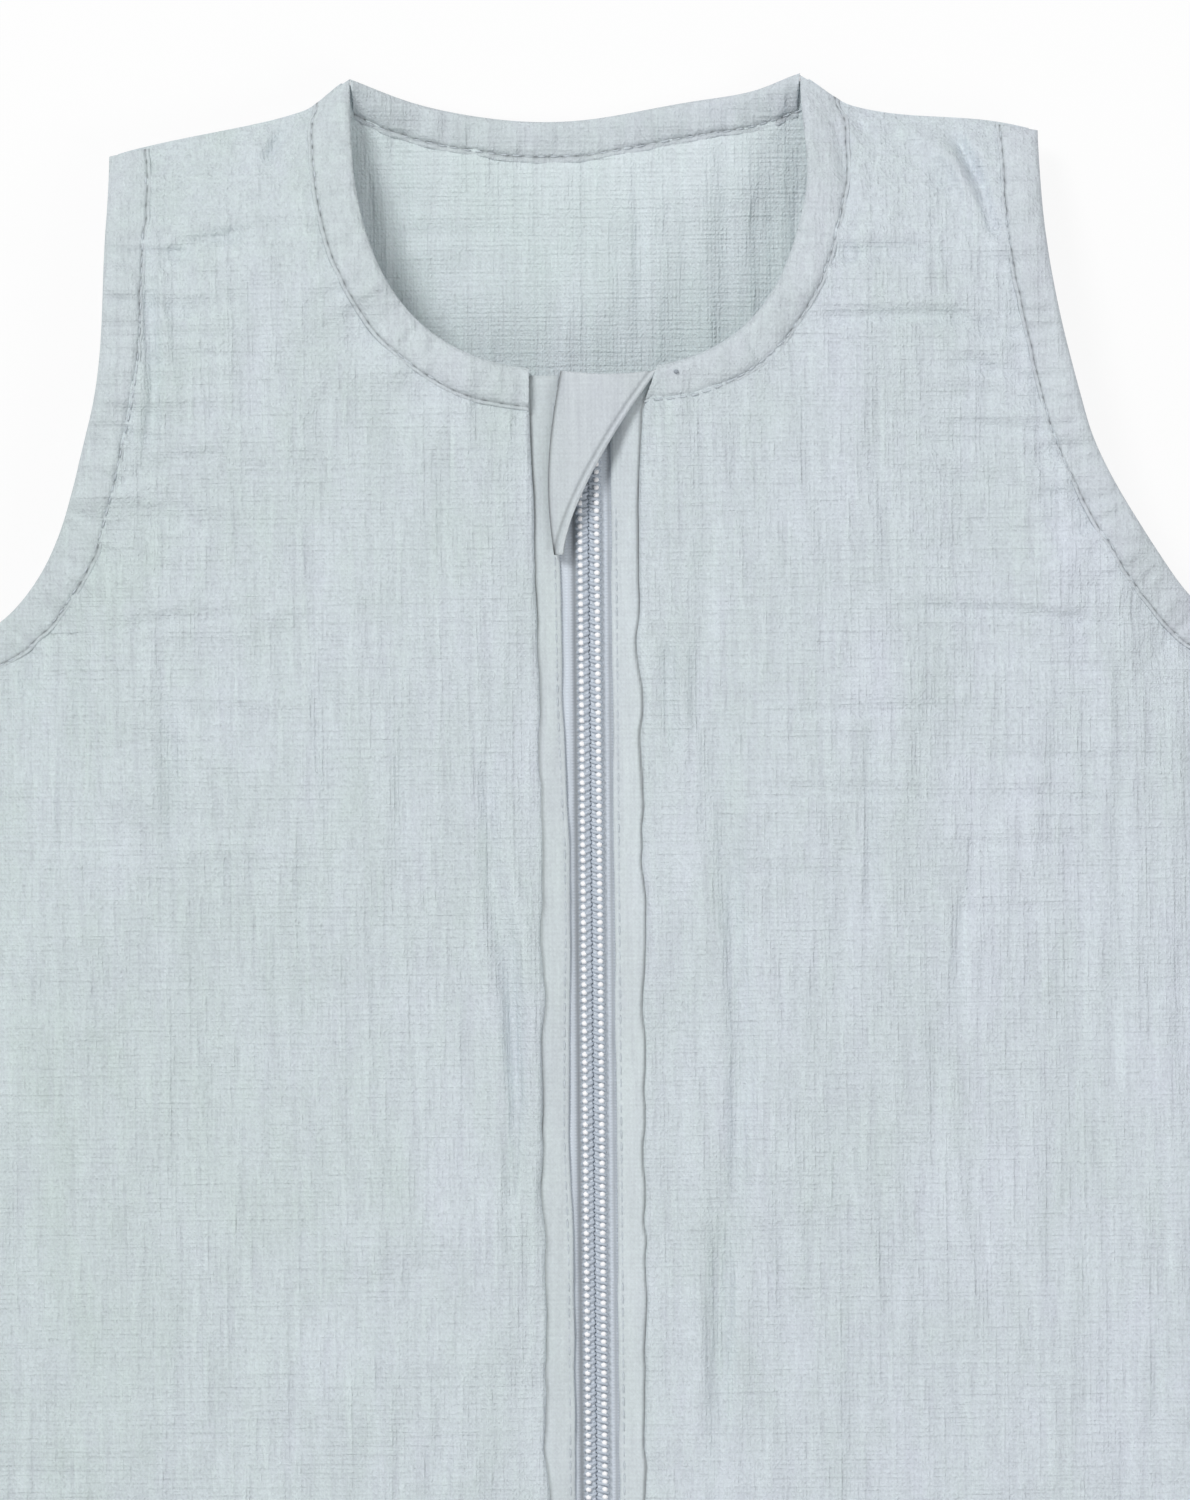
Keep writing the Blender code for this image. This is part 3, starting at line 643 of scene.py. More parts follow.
def sway(spots):
    """The bag doesn't lie quite straight: shoulders, neck and chest each sit a few mm off the zip's line."""
    x, y = spots[:, 0] * 1000, spots[:, 1] * 1000
    high, chest = smooth((y - 318) / 50), smooth((318 - y) / 38) * smooth((y - 60) / 160)
    left = (-3.6 * high + 2.6 * chest) * smooth((-x - 58) / 40)
    right = (-2.0 * high + 4.6 * chest) * smooth((x - 14) / 40)
    tip = 0.02 * x * smooth((np.abs(x) - 62) / 40) * smooth((y - 335) / 40)
    peak = smooth((y - 372) / 25) * np.exp(-(((np.abs(x) - 56.5) / 11) ** 2))
    spots[:, 0] += MM * (left + right - 2.6 * peak * (x > 0))
    spots[:, 1] += MM * (tip + 1.0 * peak)
    return spots


def grid_mesh(name, across, along, place, seal=False, flip=False, capped=False):
    """A grid whose points go where place(u, v) says, with u and v from 0 to 1.

    A fourth value from place is painted shade: how much darker the cloth's colour is drawn there, as in
    a stitched groove. A face that is longer than OPENING would span the neck, and is left out. Sealed makes
    a closed tube, and capped shuts only the two ends.
    """
    bm = bmesh.new()
    bmesh.ops.create_grid(bm, x_segments=across, y_segments=along, size=0.5)
    flat = np.array([v.co[:2] for v in bm.verts]) + 0.5
    spots = sway(place(flat[:, 0], flat[:, 1]))
    shade = bm.verts.layers.float.new("dark")
    ends = [[v for v, at in zip(bm.verts, flat) if abs(at[1] - end) < 1e-6] for end in (0, 1) if capped]
    for v, spot in zip(bm.verts, spots):
        v.co = spot[:3]
        v[shade] = spot[3] if len(spot) > 3 else 0.0
    bridges = [f for f in bm.faces if max(e.calc_length() for e in f.edges) > OPENING]
    bmesh.ops.delete(bm, geom=bridges, context="FACES")
    for row in ends:
        bmesh.ops.contextual_create(bm, geom=row)
    if seal:
        bmesh.ops.remove_doubles(bm, verts=bm.verts, dist=1e-7)
        bmesh.ops.holes_fill(bm, edges=[e for e in bm.edges if e.is_boundary], sides=0)
        bmesh.ops.recalc_face_normals(bm, faces=bm.faces)
    elif flip:
        bmesh.ops.reverse_faces(bm, faces=bm.faces)
    return object_from(bm, name)


def run_along(curve, v):
    """Points of a polyline at shares v of its length."""
    steps = np.concatenate([[0], np.cumsum(np.hypot(*np.diff(curve, axis=0).T))])
    at = v * steps[-1]
    return np.stack([np.interp(at, steps, curve[:, 0]), np.interp(at, steps, curve[:, 1])], -1)


print("piece helpers ready")

# %% [markdown]
# Each layer of cloth has a surface: the smooth height, plus its crinkles, creases and puckers. Closed seams
# hold the cloth down, so its unevenness fades out there. The linings lie under the outer cloths, and the
# one behind the neck hangs in soft gathers from its binding.

# %% Surfaces of the cloth
SEAM_HOLD, CREASE_HOLD = 0.012, 0.006
LINING_DEPTH, BACK_LINING_DEPTH = 2.0 * MM, 2.3 * MM


def free_of_seams(p):
    return smooth(seam_distance(p) / SEAM_HOLD)


def lift_off(p, amount):
    """How freely the cloth may crease: not at the closed seams, less beside the zip."""
    off_zip = smooth((np.abs(p[:, 0]) - X_FOLD) / SEAM_HOLD)
    return amount * free_of_seams(p) * (0.45 + 0.55 * off_zip)


def front_surface(p):
    uneven = lift_off(p, crinkle(p, 3) + seams_near(p))
    return front_z(p) + uneven + creases(p) * smooth(seam_distance(p) / CREASE_HOLD)


def front_lining_surface(p):
    """Under the front cloth, and deep enough for its creases."""
    return front_z(p, LINING_DEPTH) + lift_off(p, 0.5 * crinkle(p, 3) - 1.4 * MM)


def lining_surface(p):
    """The back lining, with the gathers that hang from the nape."""
    x, y = p[:, 0] * 1000, p[:, 1] * 1000
    d, at = line_distance(p, BACK_LINE)
    hang = ridges(x / 6.5, y / 70, 45) + 0.6 * ridges(x / 3.1, y / 40, 46)
    hang = hang + 0.8 * noise(x / 2.2, y / 60, 47)
    hang = MM * 0.48 * hang * np.exp(-np.maximum(d - BAND, 0) / 0.045) * smooth((d - 0.006) / 0.006)
    drawn = 0.7 * puckers(np.abs(d - BAND), at, 41)
    return back_z(p, BACK_LINING_DEPTH) + free_of_seams(p) * (0.55 * crinkle(p, 31) + drawn + hang)


def back_surface(p):
    """The back cloth, never below the floor."""
    return np.maximum(back_z(p) + 0.25 * free_of_seams(p) * crinkle(p, 53) + 0.2 * MM, 0.05 * MM)


print("heights at the middle", round(front_surface(middle)[0], 4), round(lining_surface(middle)[0], 4))

# %% [markdown]
# The two front panels are cut as mirror images. Each runs from the folded edge beside the zip to the side
# seam, and from the bottom up to the neck, the shoulder and the armhole. The folded edge is rolled down a
# little, so that it throws a thin shadow beside the zip. Painted shade on the facing makes that line darker.

# %% Front panels
SIDES = ((-1, "left"), (1, "right"))
TURN = np.sin(np.linspace(0, math.pi / 2, 81)) ** (2 / ARM_P)
ARM_FOLD = armhole(TURN)
OUTER_RAIL = [hem_corner(ONE[::-1]), side_seam(ONE[::-1]), ARM_FOLD[::-1]]
# Shares of the rows at which the corner, the side and the armhole begin and end.
PARTS = (0.0, 0.1, 0.6, 1.0)
# How close the columns lie at the zip, the width tucked under a binding, and the reach of the shoulder's dip.
SPACING, TUCK, DIP_REACH = 1.22, 2.2 * MM, 0.035
# The rolled edge beside the zip: how deep, how wide, and how far in its straying is felt.
ROLL, ROLL_WIDE, STRAY_WIDE = 1.3 * MM, 1.4 * MM, 0.025


def rails(v, near, neck):
    """Inner and outer ends of the rows of a half panel, for shares v of the way up."""
    inner, outer = np.zeros((len(v), 2)), np.zeros((len(v), 2))
    column = np.array([[near, Y_BOTTOM], [near, Y_BOTTOM + CORNER], [near, Y_ARM]])
    top = np.concatenate([[[near, Y_ARM]], neck])
    for k, line in enumerate(OUTER_RAIL):
        part = (v >= PARTS[k]) & (v <= PARTS[k + 1])
        share = (v[part] - PARTS[k]) / (PARTS[k + 1] - PARTS[k])
        share = share * (1.6 - 0.6 * share) if k == 1 else share  # closer rows on the chest, which shows most
        outer[part] = run_along(line, share)
        inner[part] = run_along(column[k : k + 2] if k < 2 else top, share)
    return inner, outer


def fold_shift(y, side):
    """How far the folded edge beside the zip strays outwards: it flares at the neck and wavers below."""
    at = y * 1000
    if side < 0:
        flare = 1.9 * smooth((at - 272) / 50)
    else:
        flare = 1.0 * smooth((at - 296) / 26) + 3.2 * smooth((at - 319) / 10)
    waver = 0.6 * line_noise(at / 31, 90 + side) + 0.75 * line_noise(at / 12, 93 + side)
    waver = waver + 0.3 * line_noise(at / 4.5, 96 + side)
    return MM * (flare + waver * smooth((310 - at) / 40) * smooth((at + 380) / 40))


def shoulder_dip(p):
    """How far points near the shoulder seam come down to its dipped line."""
    t = np.clip((np.abs(p[:, 0]) - NECK_A) / (SHOULDER_X - NECK_A), 0, 1)
    straight = Y_TOP - SHOULDER_D * t
    return (straight - shoulder(t)[:, 1]) * smooth(1 - (straight - p[:, 1]) / DIP_REACH)


def half_panel(side, surface, near=X_FOLD, neck=NECK_LINE[::-1], roll=0.0):
    """Places one half of a panel, tucked under the bindings at the neck and the armhole."""

    def place(u, v):
        inner, outer = rails(v, near, neck)
        span = np.hypot(*(outer - inner).T)
        tuck = TUCK / span * (v > PARTS[2])
        at_neck = np.where(inner[:, 0] > near + 1e-6, tuck, 0)
        share = at_neck + u**SPACING * (1 - tuck - at_neck)
        p = inner + (outer - inner) * share[:, None]
        p[:, 1] -= shoulder_dip(p)
        over = np.clip(1 - (p[:, 0] - near) / ROLL_WIDE, 0, 1)
        if roll:
            p[:, 0] += fold_shift(p[:, 1], side) * np.clip(1 - (p[:, 0] - near) / STRAY_WIDE, 0, 1)
        p[:, 0] *= side
        return np.column_stack([p, surface(p) - roll * (1 - np.sqrt(1 - over**2))])

    return place


for side, label in SIDES:
    laid = half_panel(side, front_surface, roll=ROLL)
    panel = grid_mesh(f"front_{label}_cloth", 190, 460, laid, flip=side < 0)
    file_piece(panel, MUSLIN, [f"front_panel_{label}"], "bag")
    laid = half_panel(side, front_lining_surface)
    inside = grid_mesh(f"front_{label}_lining_cloth", 60, 130, laid, flip=side > 0)
    file_piece(inside, LINING, [f"front_lining_{label}"], "bag")
    print(panel.name, len(panel.data.polygons), inside.name, len(inside.data.polygons))

# %% [markdown]
# The back is one wide piece, twice: an outer cloth underneath and a lining that shows through the neck.
# Each is a single grid over both halves, which runs out from the middle like two fronts. It is finer in the
# lining, because that one is seen.

# %% Back cloth and lining
BACK_SPACING = 1.45


def both_halves(surface):
    right = half_panel(1, surface, near=0.0, neck=BACK_NECK_LINE[::-1])

    def place(u, v):
        p = right(np.abs(2 * u - 1) ** (BACK_SPACING / SPACING), v)
        side = np.where(u < 0.5, -1.0, 1.0)
        flat = np.column_stack([p[:, 0] * side, p[:, 1]])
        return np.column_stack([flat, surface(flat)])

    return place


back = grid_mesh("back_cloth", 140, 240, both_halves(back_surface), flip=True)
file_piece(back, MUSLIN, ["back_panel"], "bag")
lining = grid_mesh("back_lining_cloth", 310, 300, both_halves(lining_surface))
file_piece(lining, LINING, ["back_lining"], "bag")
print(back.name, len(back.data.polygons), lining.name, len(lining.data.polygons))

# %% [markdown]
# The neck and the armholes are bound: a bias strip is folded round the raw edges and stitched through all
# layers. A tube along a curve would be round and smooth, so a band is a grid instead. Its short way runs
# round the folded strip, from the sewn edge over the fold and back below, and its long way follows the
# edge. The sewn edge puckers between the stitches.

# %% Shape of a band
# The folded strip's outline: share of the width from the fold, and height from -1 below to 1 above.
FOLD = np.array([
    (1.03, 0.1), (1.02, 0.4), (1.0, 0.62), (0.97, 0.7), (0.94, 0.66), (0.915, 0.6), (0.89, 0.68),
    (0.85, 0.84), (0.78, 0.96), (0.7, 1.04), (0.58, 1.12), (0.46, 1.15), (0.32, 1.12), (0.2, 1.04),
    (0.11, 0.9), (0.05, 0.66), (0.012, 0.36), (0.0, 0.0), (0.012, -0.36), (0.05, -0.66), (0.11, -0.9),
    (0.25, -1.0), (0.5, -1.0), (0.8, -1.0), (0.98, -0.9), (1.02, -0.35),
])
# Shares of the width at which the stitches run and the strip's rim lies.
SEWN, RIM = 0.915, 1.03
BAND_THICK, BAND_GATHER = 1.05 * MM, 0.5 * MM
# Painted shade: darkness of the sewn groove, and the extra darkness at each needle hole.
GROOVE_DARK, HOLE_DARK = 0.36, 0.35
STITCH = 3.05 * MM
# Share of a band's length over which its end swings round.
END_SWING = 0.14


def inward_of(line, v, turn, ends=(None, None)):
    """The way across a band, square to its edge, or swung round to a given way at an end."""
    ahead = run_along(line, np.clip(v + 0.004, 0, 1)) - run_along(line, np.clip(v - 0.004, 0, 1))
    ahead /= np.hypot(*ahead.T)[:, None]
    way = np.column_stack([ahead[:, 1], -ahead[:, 0]]) * turn
    for gone, end in zip((v, 1 - v), ends):
        if end is not None:
            keep = smooth(gone / END_SWING)[:, None]
            way = way * keep + np.array(end) * (1 - keep)
    return way / np.hypot(*way.T)[:, None]


def band_place(line, turn, side, above, below, seed, ends, sewn=SEWN, shade=0.32):
    """Places a folded band along a line of the right half, with the cloth it binds between two heights."""
    length = np.hypot(*np.diff(line, axis=0).T).sum()

    def place(u, v):
        k = np.linspace(0, 1, len(FOLD))
        across, level = np.interp(u, k, FOLD[:, 0]), np.interp(u, k, FOLD[:, 1])
        groove = np.exp(-(((across - SEWN) / 0.022) ** 2)) * (level > 0)
        rim = np.exp(-(((across - RIM) / 0.02) ** 2)) * (level > 0)
        across = np.interp(across, [0, SEWN, RIM], [0, sewn, RIM])
        at = v * length * 1000
        wide = BAND * (1 + 0.05 * line_noise(at / 11, seed) + 0.02 * line_noise(at / 3.1, seed + 1))
        p = run_along(line, v) + inward_of(line, v, turn, ends) * (across * wide)[:, None]
        p[:, 0] *= side
        top, low = above(p) + BAND_THICK, below(p) - BAND_THICK
        half, mid = (top - low) / 2, (top + low) / 2
        ripple = noise(at / 3.6, across * 1.2, seed + 2) + 0.6 * noise(at / 1.9, across * 2, seed + 3)
        z = mid + half * np.sign(level) * np.minimum(np.abs(level), 1)
        z = z + np.where(level > 1, (level - 1) * BAND_THICK, 0)
        z = z + BAND_GATHER * ripple * np.abs(level) * (1.1 - 0.5 * np.abs(across - 0.5))
        hole = 0.5 + 0.5 * np.cos(2 * math.pi * v * length / STITCH)
        # Painted shade in the colour: the sewn groove, more at each needle hole, and the rim where the band
        # meets the cloth.
        dark = groove * (GROOVE_DARK + HOLE_DARK * hole**3) + shade * rim
        return np.column_stack([p, z, dark])

    return place


print("band outline of", len(FOLD), "points")

# %% [markdown]
# Seven bands bind the bag. The front lengths of the neck stop at the zip and meet the back length at the
# shoulder seams, and each armhole has a front and a back length. At a seam or at the zip the end of a band
# is swung round, so that it is cut along the seam, as a real one is.

# %% Bindings
# Where the neck bands end beside the zip, and the way across a band at its ends.
NECK_END = {-1: (0.0138, (0.02, -1.0)), 1: (0.0165, (-0.34, -0.94))}
AT_SHOULDER, AT_TIP, AT_NAPE = (0.83, -0.56), (-0.985, 0.17), (0.1, -1.0)
NAPE_SEWN = 0.84
NECK_FLAT, ARM_FLAT, NAPE_FLAT = (0.024, 0.105), (0.024, 0.13), (0.024, 0.115)


def front_under(p):
    return front_z(p, 2.3 * MM)


def back_under(p):
    return np.maximum(back_z(p), 1.15 * MM)


def neck_line(side):
    """The front neck fold, cut where the folded edge beside the zip crosses it."""
    whole = neck_front(np.linspace(0, 1, 160))
    return whole[whole[:, 0] > NECK_END[side][0]]


def band(name, line, turn, side, above, below, cells, nodes, flat, **more):
    laid = band_place(line, turn, side, above, below, **more)
    obj = grid_mesh(name, len(FOLD) - 1, cells, laid, flip=turn * side < 0, capped=True)
    file_piece(obj, BINDING, nodes, "bag")
    print(name, len(obj.data.polygons))


for side, label in SIDES:
    band(
        f"neck_band_front_{label}", neck_line(side), -1, side, front_surface, front_under, 420,
        [f"neck_binding_front_{label}"], NECK_FLAT, seed=5 + side, ends=(AT_SHOULDER, NECK_END[side][1]),
    )
    band(
        f"armhole_band_front_{label}", ARM_FOLD, 1, side, front_surface, front_under, 400,
        [f"armhole_binding_front_{label}"], ARM_FLAT, seed=15 + side, ends=(AT_TIP, None),
        # More painted shade along the right front armhole's rim, where the panel puffs up against the band.
        shade=0.5 if side > 0 else 0.32,
    )
    band(
        f"armhole_band_back_{label}", ARM_FOLD, 1, side, lining_surface, back_under, 300,
        [f"armhole_binding_back_{label}"], ARM_FLAT, seed=25 + side, ends=(AT_TIP, None),
    )
band(
    "neck_band_back", BACK_LINE, 1, 1, lining_surface, back_under, 360, ["neck_binding_back"], NAPE_FLAT,
    seed=35, ends=(AT_NAPE, (-AT_NAPE[0], AT_NAPE[1])), sewn=NAPE_SEWN, shade=0.0,
)

# %% [markdown]
# A zip tape is a dense polyester ribbon with fine ribs across it. Two crossed waves make the ribs and the
# cords along the tape, and a little stretched noise makes them uneven. It could be a real mesh of threads,
# but at this size a bump looks the same and costs nothing.

# %% Zip tape weave
tape_weave, given, made = new_group(
    "zip_tape_weave",
    [("Vector", "Vector", (0, 0, 0)), ("Colour", "Color", GREY), ("Dark", "Float", 0.0)],
    [("Colour", "Color"), ("Height", "Float")],
)
ribs = threads(tape_weave, given["Vector"], "Y", 420.0, 0.6, 1.0)
cords = threads(tape_weave, given["Vector"], "X", 260.0, 0.4, 1.0)
woven = math_node(tape_weave, "MULTIPLY", ribs, cords)
uneven = streaks(tape_weave, given["Vector"], (900, 120, 900), 3)
tone = plus_times(tape_weave, plus_times(tape_weave, 0.92, woven, 0.16), uneven, 0.2)
# Dark is painted shade from the mesh attribute, for the shadow lines along the tape.
tone = math_node(tape_weave, "MULTIPLY", tone, math_node(tape_weave, "SUBTRACT", 1.0, given["Dark"]))
tape_weave.links.new(toned(tape_weave, given["Colour"], tone), made["Colour"])
tape_weave.links.new(math_node(tape_weave, "ADD", woven, uneven), made["Height"])

TAPE, tree, shader = new_material("zip_tape_polyester")
look = add(
    tree, "ShaderNodeGroup", {"node_tree": tape_weave},
    Vector=object_place(tree), Colour=linear(208, 216, 225), Dark=painted_shade_attribute(tree),
)
dress(tree, shader, look, 0.7, 0.12)
shader.inputs["Roughness"].default_value = 0.7
print("tape weave with", len(tape_weave.nodes), "nodes")

# %% [markdown]
# The zip lies in a slit between the fronts. On each side a narrow facing of the same muslin is sewn to a
# woven tape, and the tape carries the coil. Facing and tape are closed strips with soft edges and slight
# waves, because cloth that is sewn to a zip never lies quite flat.

# %% Zip facings and tapes
Y_ZIP_TOP, Y_ZIP_LOW = 0.3287, -0.3996
COIL_LOW, COIL_HIGH = -0.33165, 0.3187
FACING_FAR, FACING_TOP, FACING_THICK = 0.0158, 0.0286, 0.9 * MM
TAPE_FAR, TAPE_TOP, TAPE_THICK = 0.0102, 0.0273, 0.45 * MM
# A strip's outline: share of the width from the near edge, and height from 0 below to 1 above.
UPPER = [(0.05 + 0.92 * k / 22, 1.0) for k in range(23)]
LOWER = [(1.0, 0.5), (0.97, 0.0), (0.5, 0.0), (0.05, 0.0), (0.012, 0.25), (0.0, 0.5), (0.012, 0.75)]
STRIP = np.array(UPPER + LOWER + UPPER[:1])
# Lines along the zip, as distances from the middle in mm: the tape's near edge, the right facing's near
# edge, the fold, and the left facing's near edge, with a height in mm before each distance.
TAPE_NEAR, RIGHT_EDGE, FOLD_X = 0.03, 5.45, 11.9
LEFT_EDGE = [(120, 5.05), (148, 5.9), (175, 5.5), (195, 5.05), (216, 5.1), (230, 5.8), (250, 6.5), (290, 6.9)]


def slit_drop(y):
    """How far the cloth beside the zip falls below the crown, at heights y."""
    return LOFT - front_z(np.column_stack([np.full(len(y), X_FOLD + 1 * MM), y]))


def even_line(distance):
    """A line along the zip: a function that gives the distance from the middle at heights y."""
    return lambda y: np.full(len(y), distance * MM)


def facing_edge(side):
    """The facing's near edge: even on the right, and pushed to and fro on the left."""
    if side > 0:
        return even_line(RIGHT_EDGE)
    return lambda y: np.interp(y * 1000, *np.array(LEFT_EDGE).T) * MM


def fold_line(side):
    """The folded edge of the front panel, over the facing."""
    return lambda y: FOLD_X * MM + fold_shift(y, side)


def strip_place(near, far, top, thick, side, wave, seed, painted_shadow, core=0.0, shade=0.0):
    """A flat strip along the zip, from its near line to its far edge.

    The painted shadow is a line of painted shade, with its half width in mm and its darkness. Core is the
    height in mm of the cord inside the coil, which fills the spaces between its turns. Shade is painted shade
    over the whole strip.
    """
    line, half, amount = painted_shadow

    def place(u, v):
        k = np.linspace(0, 1, len(STRIP))
        across, level = np.interp(u, k, STRIP[:, 0]), np.interp(u, k, STRIP[:, 1])
        y = Y_ZIP_LOW + (Y_ZIP_TOP - Y_ZIP_LOW) * v
        at = y * 1000
        start = near(y)
        x = start + (far - start) * across + MM * 0.16 * line_noise(at / 9, seed) * (1 - across) * (core == 0)
        z = top - slit_drop(y) - thick * (1 - level) + MM * wave * noise(at / 5.5, across * 2, seed + 1)
        z = z + MM * 0.4 * wave * noise(at / 2.4, across * 3, seed + 2)
        bunched = smooth((at - 292) / 24) * smooth((x * side * 1000 - 5) / 4)  # under the flap
        in_coil = smooth((3.2 - x * 1000) / 0.9) * (level > 0.6) * (y > COIL_LOW) * (y < COIL_HIGH)
        z = z + MM * 1.3 * bunched + MM * core * in_coil
        dark = shade + amount * np.exp(-(((x - line(y)) / (half * MM)) ** 2)) * (level > 0.6)
        return np.column_stack([x * side, y, z, np.clip(dark, 0, 0.9)])

    return place


# Painted shadow lines on each side: half width in mm and darkness at the fold, and all of the line on the
# tape, beside the coil on the left and under the facing's edge on the right. The left facing also gets a
# little painted shade all over, as it lies tilted away from the light.
FOLD_SHADOW = {-1: (0.45, 0.36), 1: (0.45, 0.6)}
TAPE_SHADOW = {-1: (even_line(3.5), 0.8, 0.55), 1: (even_line(RIGHT_EDGE - 0.6), 0.6, 0.32)}
FACING_SHADE = {-1: 0.045, 1: 0.0}
for side, label in SIDES:
    laid = strip_place(
        facing_edge(side), FACING_FAR, FACING_TOP, FACING_THICK, side, 0.16, 61 + side,
        (fold_line(side), *FOLD_SHADOW[side]), shade=FACING_SHADE[side],
    )
    facing = grid_mesh(f"zip_facing_{label}_cloth", len(STRIP) - 1, 420, laid, seal=True)
    file_piece(facing, FACING, [f"zip_facing_{label}"], "bag")
    laid = strip_place(
        even_line(TAPE_NEAR), TAPE_FAR, TAPE_TOP, TAPE_THICK, side, 0.05, 71 + side,
        TAPE_SHADOW[side], core=1.3,
    )
    tape = grid_mesh(f"zip_tape_{label}_woven", len(STRIP) - 1, 300, laid, seal=True)
    file_piece(tape, TAPE, [f"zip_tape_{label}"], "bag")
    print(facing.name, len(facing.data.polygons), tape.name, len(tape.data.polygons))

# %% [markdown]
# Nylon thread, moulded plastic and cast metal are smoother than cloth, but none of them is perfectly even.
# One node group mottles the colour a little and makes the surface finely uneven. Each finish places it with
# its own colour, roughness and speck.

# %% Smooth finishes
mottle, given, made = new_group(
    "fine_mottle",
    [
        ("Vector", "Vector", (0, 0, 0)),
        ("Colour", "Color", GREY),
        ("Rough", "Float", 0.5),
        ("Speck", "Float", 0.08),
    ],
    [("Colour", "Color"), ("Roughness", "Float"), ("Height", "Float")],
)
cloud = streaks(mottle, given["Vector"], (700, 700, 700), 3)
fine = streaks(mottle, given["Vector"], (2600, 2600, 2600), 2)
tone = plus_times(mottle, 1.0, cloud, math_node(mottle, "MULTIPLY", given["Speck"], 2.0))
mottle.links.new(toned(mottle, given["Colour"], tone), made["Colour"])
mottle.links.new(plus_times(mottle, given["Rough"], fine, 0.2), made["Roughness"])
mottle.links.new(fine, made["Height"])


def smooth_finish(name, colour, rough, speck=0.08, depth=0.05, metal=0.0):
    """Thread, moulded plastic or metal: slightly mottled, with a fine uneven surface."""
    material, tree, shader = new_material(name)
    look = add(
        tree, "ShaderNodeGroup", {"node_tree": mottle},
        Vector=object_place(tree), Colour=colour, Rough=rough, Speck=speck,
    )
    dress(tree, shader, look, 0.6, depth)
    shader.inputs["Metallic"].default_value = metal
    return material


# The coil's darker, slate colour is painted shade, for the shadow between its meshed turns.
NYLON = smooth_finish("coil_nylon_painted_shade", linear(184, 193, 204), 0.6)
METAL = smooth_finish("slider_satin_metal", linear(148, 154, 163), 0.36, depth=0.03, metal=1.0)
MOULDED = smooth_finish("zip_moulded_plastic", linear(205, 212, 219), 0.4, speck=0.06)
BEAD = smooth_finish("coil_white_bead", linear(250, 250, 252), 0.5, speck=0.06)
THREAD = smooth_finish("sewing_thread", linear(198, 206, 212), 0.75, speck=0.12, depth=0.08)
KNOT = smooth_finish("thread_end", linear(150, 158, 166), 0.75, speck=0.2, depth=0.1)
print("smooth finishes:", NYLON.name, METAL.name, MOULDED.name, BEAD.name, THREAD.name, KNOT.name)

# %% [markdown]
# The zip's teeth are one long nylon thread per side, wound into a flat coil and sewn to the tape. Each
# turn is a loop that reaches past the middle between the loops of the other side, half a pitch further on.
# A curve with a round section draws the thread in one go, and is then turned into a mesh.

# %% Zip coils
PITCH = 1.86 * MM
LOOP_POINTS = 10
LOOP_X, LOOP_HALF_WIDE = 1.5 * MM, 1.3 * MM
LOOP_Z, LOOP_HALF_TALL = 28.55 * MM, 0.6 * MM
COIL_THREAD = 0.44 * MM
# A share just under 1 keeps the last turn clear of the zip's top end.
END_ROOM = 0.998


def thread_mesh(name, spots, radius):
    """A round thread through points (x, y, z), as a mesh."""
    curve = bpy.data.curves.new(name, "CURVE")
    curve.dimensions = "3D"
    curve.bevel_depth, curve.bevel_resolution, curve.use_fill_caps = radius, 1, True
    line = curve.splines.new("POLY")
    line.points.add(len(spots) - 1)
    line.points.foreach_set("co", np.column_stack([spots, np.ones(len(spots))]).ravel())
    guide = bpy.data.objects.new(name + "_guide", curve)
    mesh = bpy.data.meshes.new_from_object(guide)
    mesh.name = name
    bpy.data.objects.remove(guide)
    bpy.data.curves.remove(curve)
    return new_object(name, mesh)


for side, label in SIDES:
    turns = int((COIL_HIGH - COIL_LOW) / PITCH)
    phase = np.arange(turns * LOOP_POINTS) / LOOP_POINTS
    angle = 2 * math.pi * phase
    y = COIL_LOW + PITCH * (phase + (0.5 if side > 0 else 0.0)) * END_ROOM
    x = LOOP_X + LOOP_HALF_WIDE * np.cos(angle)
    z = LOOP_Z + LOOP_HALF_TALL * np.sin(angle)
    coil = thread_mesh(f"zip_coil_{label}_thread", np.column_stack([side * x, y, z]), COIL_THREAD)
    file_piece(coil, NYLON, [f"zip_coil_{label}"], "bag")
    print(coil.name, turns, "turns", len(coil.data.polygons), "faces")

# %% [markdown]
# At the top a small triangle of folded muslin covers the end of the zip, so that it can't scratch the
# chin. Its left edge is sewn down and its slanted edge is free, with a narrow rolled hem. It arches over the
# zip, so that the slider fits below. The cloth is a thin double layer, so the grid is given thickness with a
# Solidify modifier.

# %% Zip garage
# The flap's top edge and length, its height over the zip, and half the slider's width, in mm.
FLAP_TOP, FLAP_TALL, FLAP_ROOF, SLIDER_HALF = 329.7, 44, 33.4, 3.3


